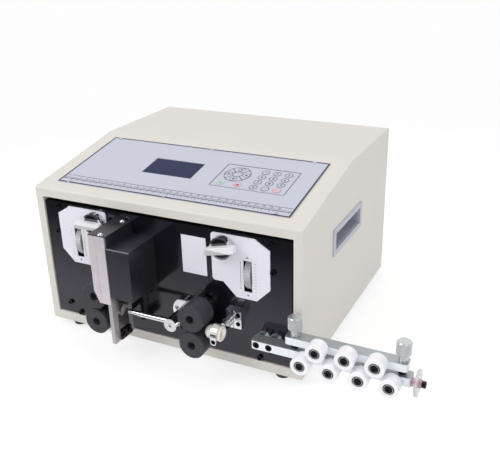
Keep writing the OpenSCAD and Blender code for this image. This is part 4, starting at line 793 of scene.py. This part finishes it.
# how far the middle of both lies behind the roller's front
RACE_IN = 0.75
FACING_FRONT = (math.pi / 2, 0, 0)


def bearing_race():
    """The inner race that shows round the bolt: a slim torus facing the front."""
    bpy.ops.mesh.primitive_torus_add(
        major_segments=48,
        minor_segments=10,
        major_radius=RACE_R * MM,
        minor_radius=RACE_ROUND * MM,
        rotation=FACING_FRONT,
    )
    race = settled(fresh("first_race"))
    bpy.ops.object.shade_smooth()
    return race


def socket_bolt():
    """A short socket head: a six sided recess is cut in its front face, and its edges are eased."""
    bpy.ops.mesh.primitive_cylinder_add(
        vertices=36, radius=BOLT_R * MM, depth=BOLT_DEEP * MM, rotation=FACING_FRONT
    )
    head = settled(fresh("first_bolt"))
    bpy.ops.mesh.primitive_cylinder_add(
        vertices=6,
        radius=SOCKET_R * MM,
        depth=SOCKET_DEEP * MM,
        location=(0, -BOLT_DEEP / 2 * MM, 0),
        rotation=FACING_FRONT,
    )
    recess = settled(fresh("bolt_recess"))
    cut = head.modifiers.new("recess", "BOOLEAN")
    cut.object = recess
    cut.operation = "DIFFERENCE"
    round_off = head.modifiers.new("edge", "BEVEL")
    round_off.width = BOLT_EDGE * MM
    round_off.segments = 2
    apply_all(head)
    bpy.data.objects.remove(recess)
    return head


def copy_at(first, name, spot, finish, body):
    """A copy with a mesh of its own, moved to its spot."""
    twin = first.copy()
    twin.data = first.data.copy()
    twin.name = name
    scene.collection.objects.link(twin)
    hand_over(twin, Matrix.Translation(spot), finish, body)


race, bolt = bearing_race(), socket_bolt()
for carrier, rollers in (("cabinet", LOWER_ROLLERS), ("upper_bar", UPPER_ROLLERS)):
    for name in rollers:
        low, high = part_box(name)
        spot = Vector(((low.x + high.x) / 2, low.y + RACE_IN * MM, (low.z + high.z) / 2))
        copy_at(race, f"{name}_race", spot, race_steel, carrier)
        copy_at(bolt, f"{name}_bolt", spot, oxide, carrier)
for first in (race, bolt):
    bpy.data.objects.remove(first)

# The floor: near the machine it keeps its shadow, and far off it goes over into the plain backdrop
FLOOR, FLOOR_SIZE = colour("#F2F2F2"), 40
# the fade begins and ends at these distances from the machine's middle, in metres
FADE_START, FADE_END = 0.45, 1.1
# what share of the floor glows near the machine, where the rest takes light and shadow
NEAR_GLOW_SHARE = 0.55
FLOOR_GLOW, HORIZON_GLOW = 1.27, 0.985
# polished parts mirror a table that falls off into a dark room: metres ahead of the plate, brightness
MIRRORED = ((0.10, 1.0), (0.18, 0.7), (0.28, 0.3), (0.34, 0.05))
DARK_ROOM = (0.02, 0.02, 0.025, 1)
plate_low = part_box("front_plate")[0]
bpy.ops.mesh.primitive_plane_add(size=FLOOR_SIZE, location=(0, 0, cad_box[0].z))
floor = fresh("floor")
floor_mat = bpy.data.materials.new("pale_floor")
floor_mat.use_nodes = True
tree = floor_mat.node_tree
tree.nodes.clear()
where = add(tree, "ShaderNodeTexCoord").outputs["Object"]
path = add(tree, "ShaderNodeLightPath").outputs
direct = add(
    tree, "ShaderNodeMath", {0: path["Is Camera Ray"], 1: path["Is Glossy Ray"]}, operation="MAXIMUM"
)
seen = add(
    tree, "ShaderNodeMath", {0: direct.outputs[0], 1: path["Is Transmission Ray"]}, operation="MAXIMUM"
)
spread = add(tree, "ShaderNodeVectorMath", {0: where}, operation="LENGTH").outputs["Value"]
fade = {"Value": spread, "From Min": FADE_START, "From Max": FADE_END}
share = add(tree, "ShaderNodeMapRange", fade | {"To Min": NEAR_GLOW_SHARE}).outputs["Result"]
brightness = add(
    tree, "ShaderNodeMapRange", fade | {"To Min": FLOOR_GLOW, "To Max": HORIZON_GLOW}
).outputs["Result"]
glowing = add(tree, "ShaderNodeMath", {0: seen.outputs[0], 1: share}, operation="MULTIPLY")
lit = add(tree, "ShaderNodeBsdfDiffuse", {"Color": FLOOR})
glow = add(tree, "ShaderNodeEmission", {"Color": (1, 1, 1, 1), "Strength": brightness})
mix = add(tree, "ShaderNodeMixShader", {0: glowing.outputs[0], 1: lit.outputs[0], 2: glow.outputs[0]})
ahead = add(tree, "ShaderNodeSeparateXYZ", {0: where}).outputs["Y"]
away = add(tree, "ShaderNodeMath", {0: plate_low.y, 1: ahead}, operation="SUBTRACT").outputs[0]
falloff = add(tree, "ShaderNodeValToRGB", {"Fac": away})
levels = falloff.color_ramp.elements
levels.remove(levels[1])
for index, (distance, level) in enumerate(MIRRORED):
    stop = levels[0] if index == 0 else levels.new(distance)
    stop.position = distance
    stop.color = (level, level, level, 1)
dimmed = add(tree, "ShaderNodeMath", {0: 1.0, 1: falloff.outputs["Color"]}, operation="SUBTRACT").outputs[0]
mirrored = add(tree, "ShaderNodeMath", {0: dimmed, 1: path["Is Glossy Ray"]}, operation="MULTIPLY")
dark = add(tree, "ShaderNodeEmission", {"Color": DARK_ROOM, "Strength": 1.0})
over = add(tree, "ShaderNodeMixShader", {0: mirrored.outputs[0], 1: mix.outputs[0], 2: dark.outputs[0]})
add(tree, "ShaderNodeOutputMaterial", {"Surface": over.outputs[0]})
floor.data.materials.append(floor_mat)

# The room: white to the camera, a soft sky to matt surfaces and a studio to polished ones
SKY_LOW, SKY_HIGH, SKY_TOP = 0.85, 0.42, 0.8
# what chrome mirrors, by height: a bright strip low down, a dark ceiling and a bright opening overhead
STUDIO_FOOT, STUDIO_OPENING = (0.02, (0.30, 0.30, 0.31, 1)), (0.92, (0.85, 0.85, 0.85, 1))
STUDIO_LEVELS = ((0.14, 0.95), (0.42, 0.85), (0.52, 0.10), (0.78, 0.12))
# the wall behind the machine is bright up to the ceiling, and the sloping face mirrors it softly
REAR_WALL, REAR_FADE = 0.92, (0.3, 0.55)
DAYLIGHT = (1.0, 0.997, 0.992, 1)
world = bpy.data.worlds.new("studio")
scene.world = world
world.use_nodes = True
tree = world.node_tree
tree.nodes.clear()
path = add(tree, "ShaderNodeLightPath").outputs
seen = add(
    tree, "ShaderNodeMath", {0: path["Is Camera Ray"], 1: path["Is Transmission Ray"]}, operation="MAXIMUM"
)
around = add(tree, "ShaderNodeTexCoord").outputs["Generated"]
toward = add(tree, "ShaderNodeSeparateXYZ", {0: around}).outputs
sky = add(
    tree,
    "ShaderNodeMapRange",
    {"Value": toward["Z"], "From Min": 0.0, "From Max": SKY_TOP, "To Min": SKY_LOW, "To Max": SKY_HIGH},
)
studio = add(tree, "ShaderNodeValToRGB", {"Fac": toward["Z"]})
stops = studio.color_ramp.elements
stops[0].position, stops[0].color = STUDIO_FOOT
stops[1].position, stops[1].color = STUDIO_OPENING
for at, level in STUDIO_LEVELS:
    stops.new(at).color = (level, level, level, 1)
rear = add(
    tree, "ShaderNodeMapRange", {"Value": toward["Y"], "From Min": REAR_FADE[0], "From Max": REAR_FADE[1]}
).outputs["Result"]
first, second, out = MIX_VALUE
room = add(
    tree, "ShaderNodeMix", {0: rear, first: studio.outputs["Color"], second: REAR_WALL}, data_type="FLOAT"
).outputs[out]
strength = add(
    tree,
    "ShaderNodeMix",
    {0: path["Is Glossy Ray"], first: sky.outputs["Result"], second: room},
    data_type="FLOAT",
).outputs[out]
soft = add(tree, "ShaderNodeBackground", {"Color": DAYLIGHT, "Strength": strength})
white = add(tree, "ShaderNodeBackground", {"Color": (1, 1, 1, 1), "Strength": 1.0})
mix = add(tree, "ShaderNodeMixShader", {0: seen.outputs[0], 1: soft.outputs[0], 2: white.outputs[0]})
add(tree, "ShaderNodeOutputWorld", {"Surface": mix.outputs[0]})

LAMP_TARGET = Vector((0, 0, 0.1))


def softbox(name, location, size, power):
    """A square studio lamp aimed at the machine, with its size in metres and its power in watts."""
    bpy.ops.object.light_add(type="AREA", location=location)
    lamp = fresh(name)
    lamp.data.shape = "SQUARE"
    lamp.data.size = size
    lamp.data.energy = power
    lamp.rotation_euler = (LAMP_TARGET - Vector(location)).to_track_quat("-Z", "Y").to_euler()


softbox("key_lamp", (-1.2, -1.3, 1.7), size=1.2, power=20)
softbox("fill_lamp", (1.6, -1.0, 1.2), size=1.6, power=9)
softbox("top_lamp", (0.1, 0.5, 2.1), size=1.4, power=9)

# The photograph's view, solved from the cabinet's edges
VIEW_AZ, VIEW_EL, VIEW_ROLL = map(math.radians, (26.59, 23.59, -1.44))
VIEW_TARGET = place(270.56, 96.0, 140.49)
VIEW_DISTANCE = 0.92046
back = Vector(
    (math.sin(VIEW_AZ) * math.cos(VIEW_EL), -math.cos(VIEW_AZ) * math.cos(VIEW_EL), math.sin(VIEW_EL))
)
level_right = Vector((math.cos(VIEW_AZ), math.sin(VIEW_AZ), 0))
level_up = back.cross(level_right)
right = level_right * math.cos(VIEW_ROLL) + level_up * math.sin(VIEW_ROLL)
up = level_up * math.cos(VIEW_ROLL) - level_right * math.sin(VIEW_ROLL)
bpy.ops.object.camera_add()
camera = fresh("camera")
camera.data.sensor_width = 36.0
camera.data.lens = 50.2
camera.data.clip_start = 0.01
camera.data.clip_end = 50
camera.matrix_world = Matrix((right, up, back)).transposed().to_4x4()
camera.location = VIEW_TARGET + back * VIEW_DISTANCE
scene.camera = camera
scene.view_settings.view_transform = "Standard"
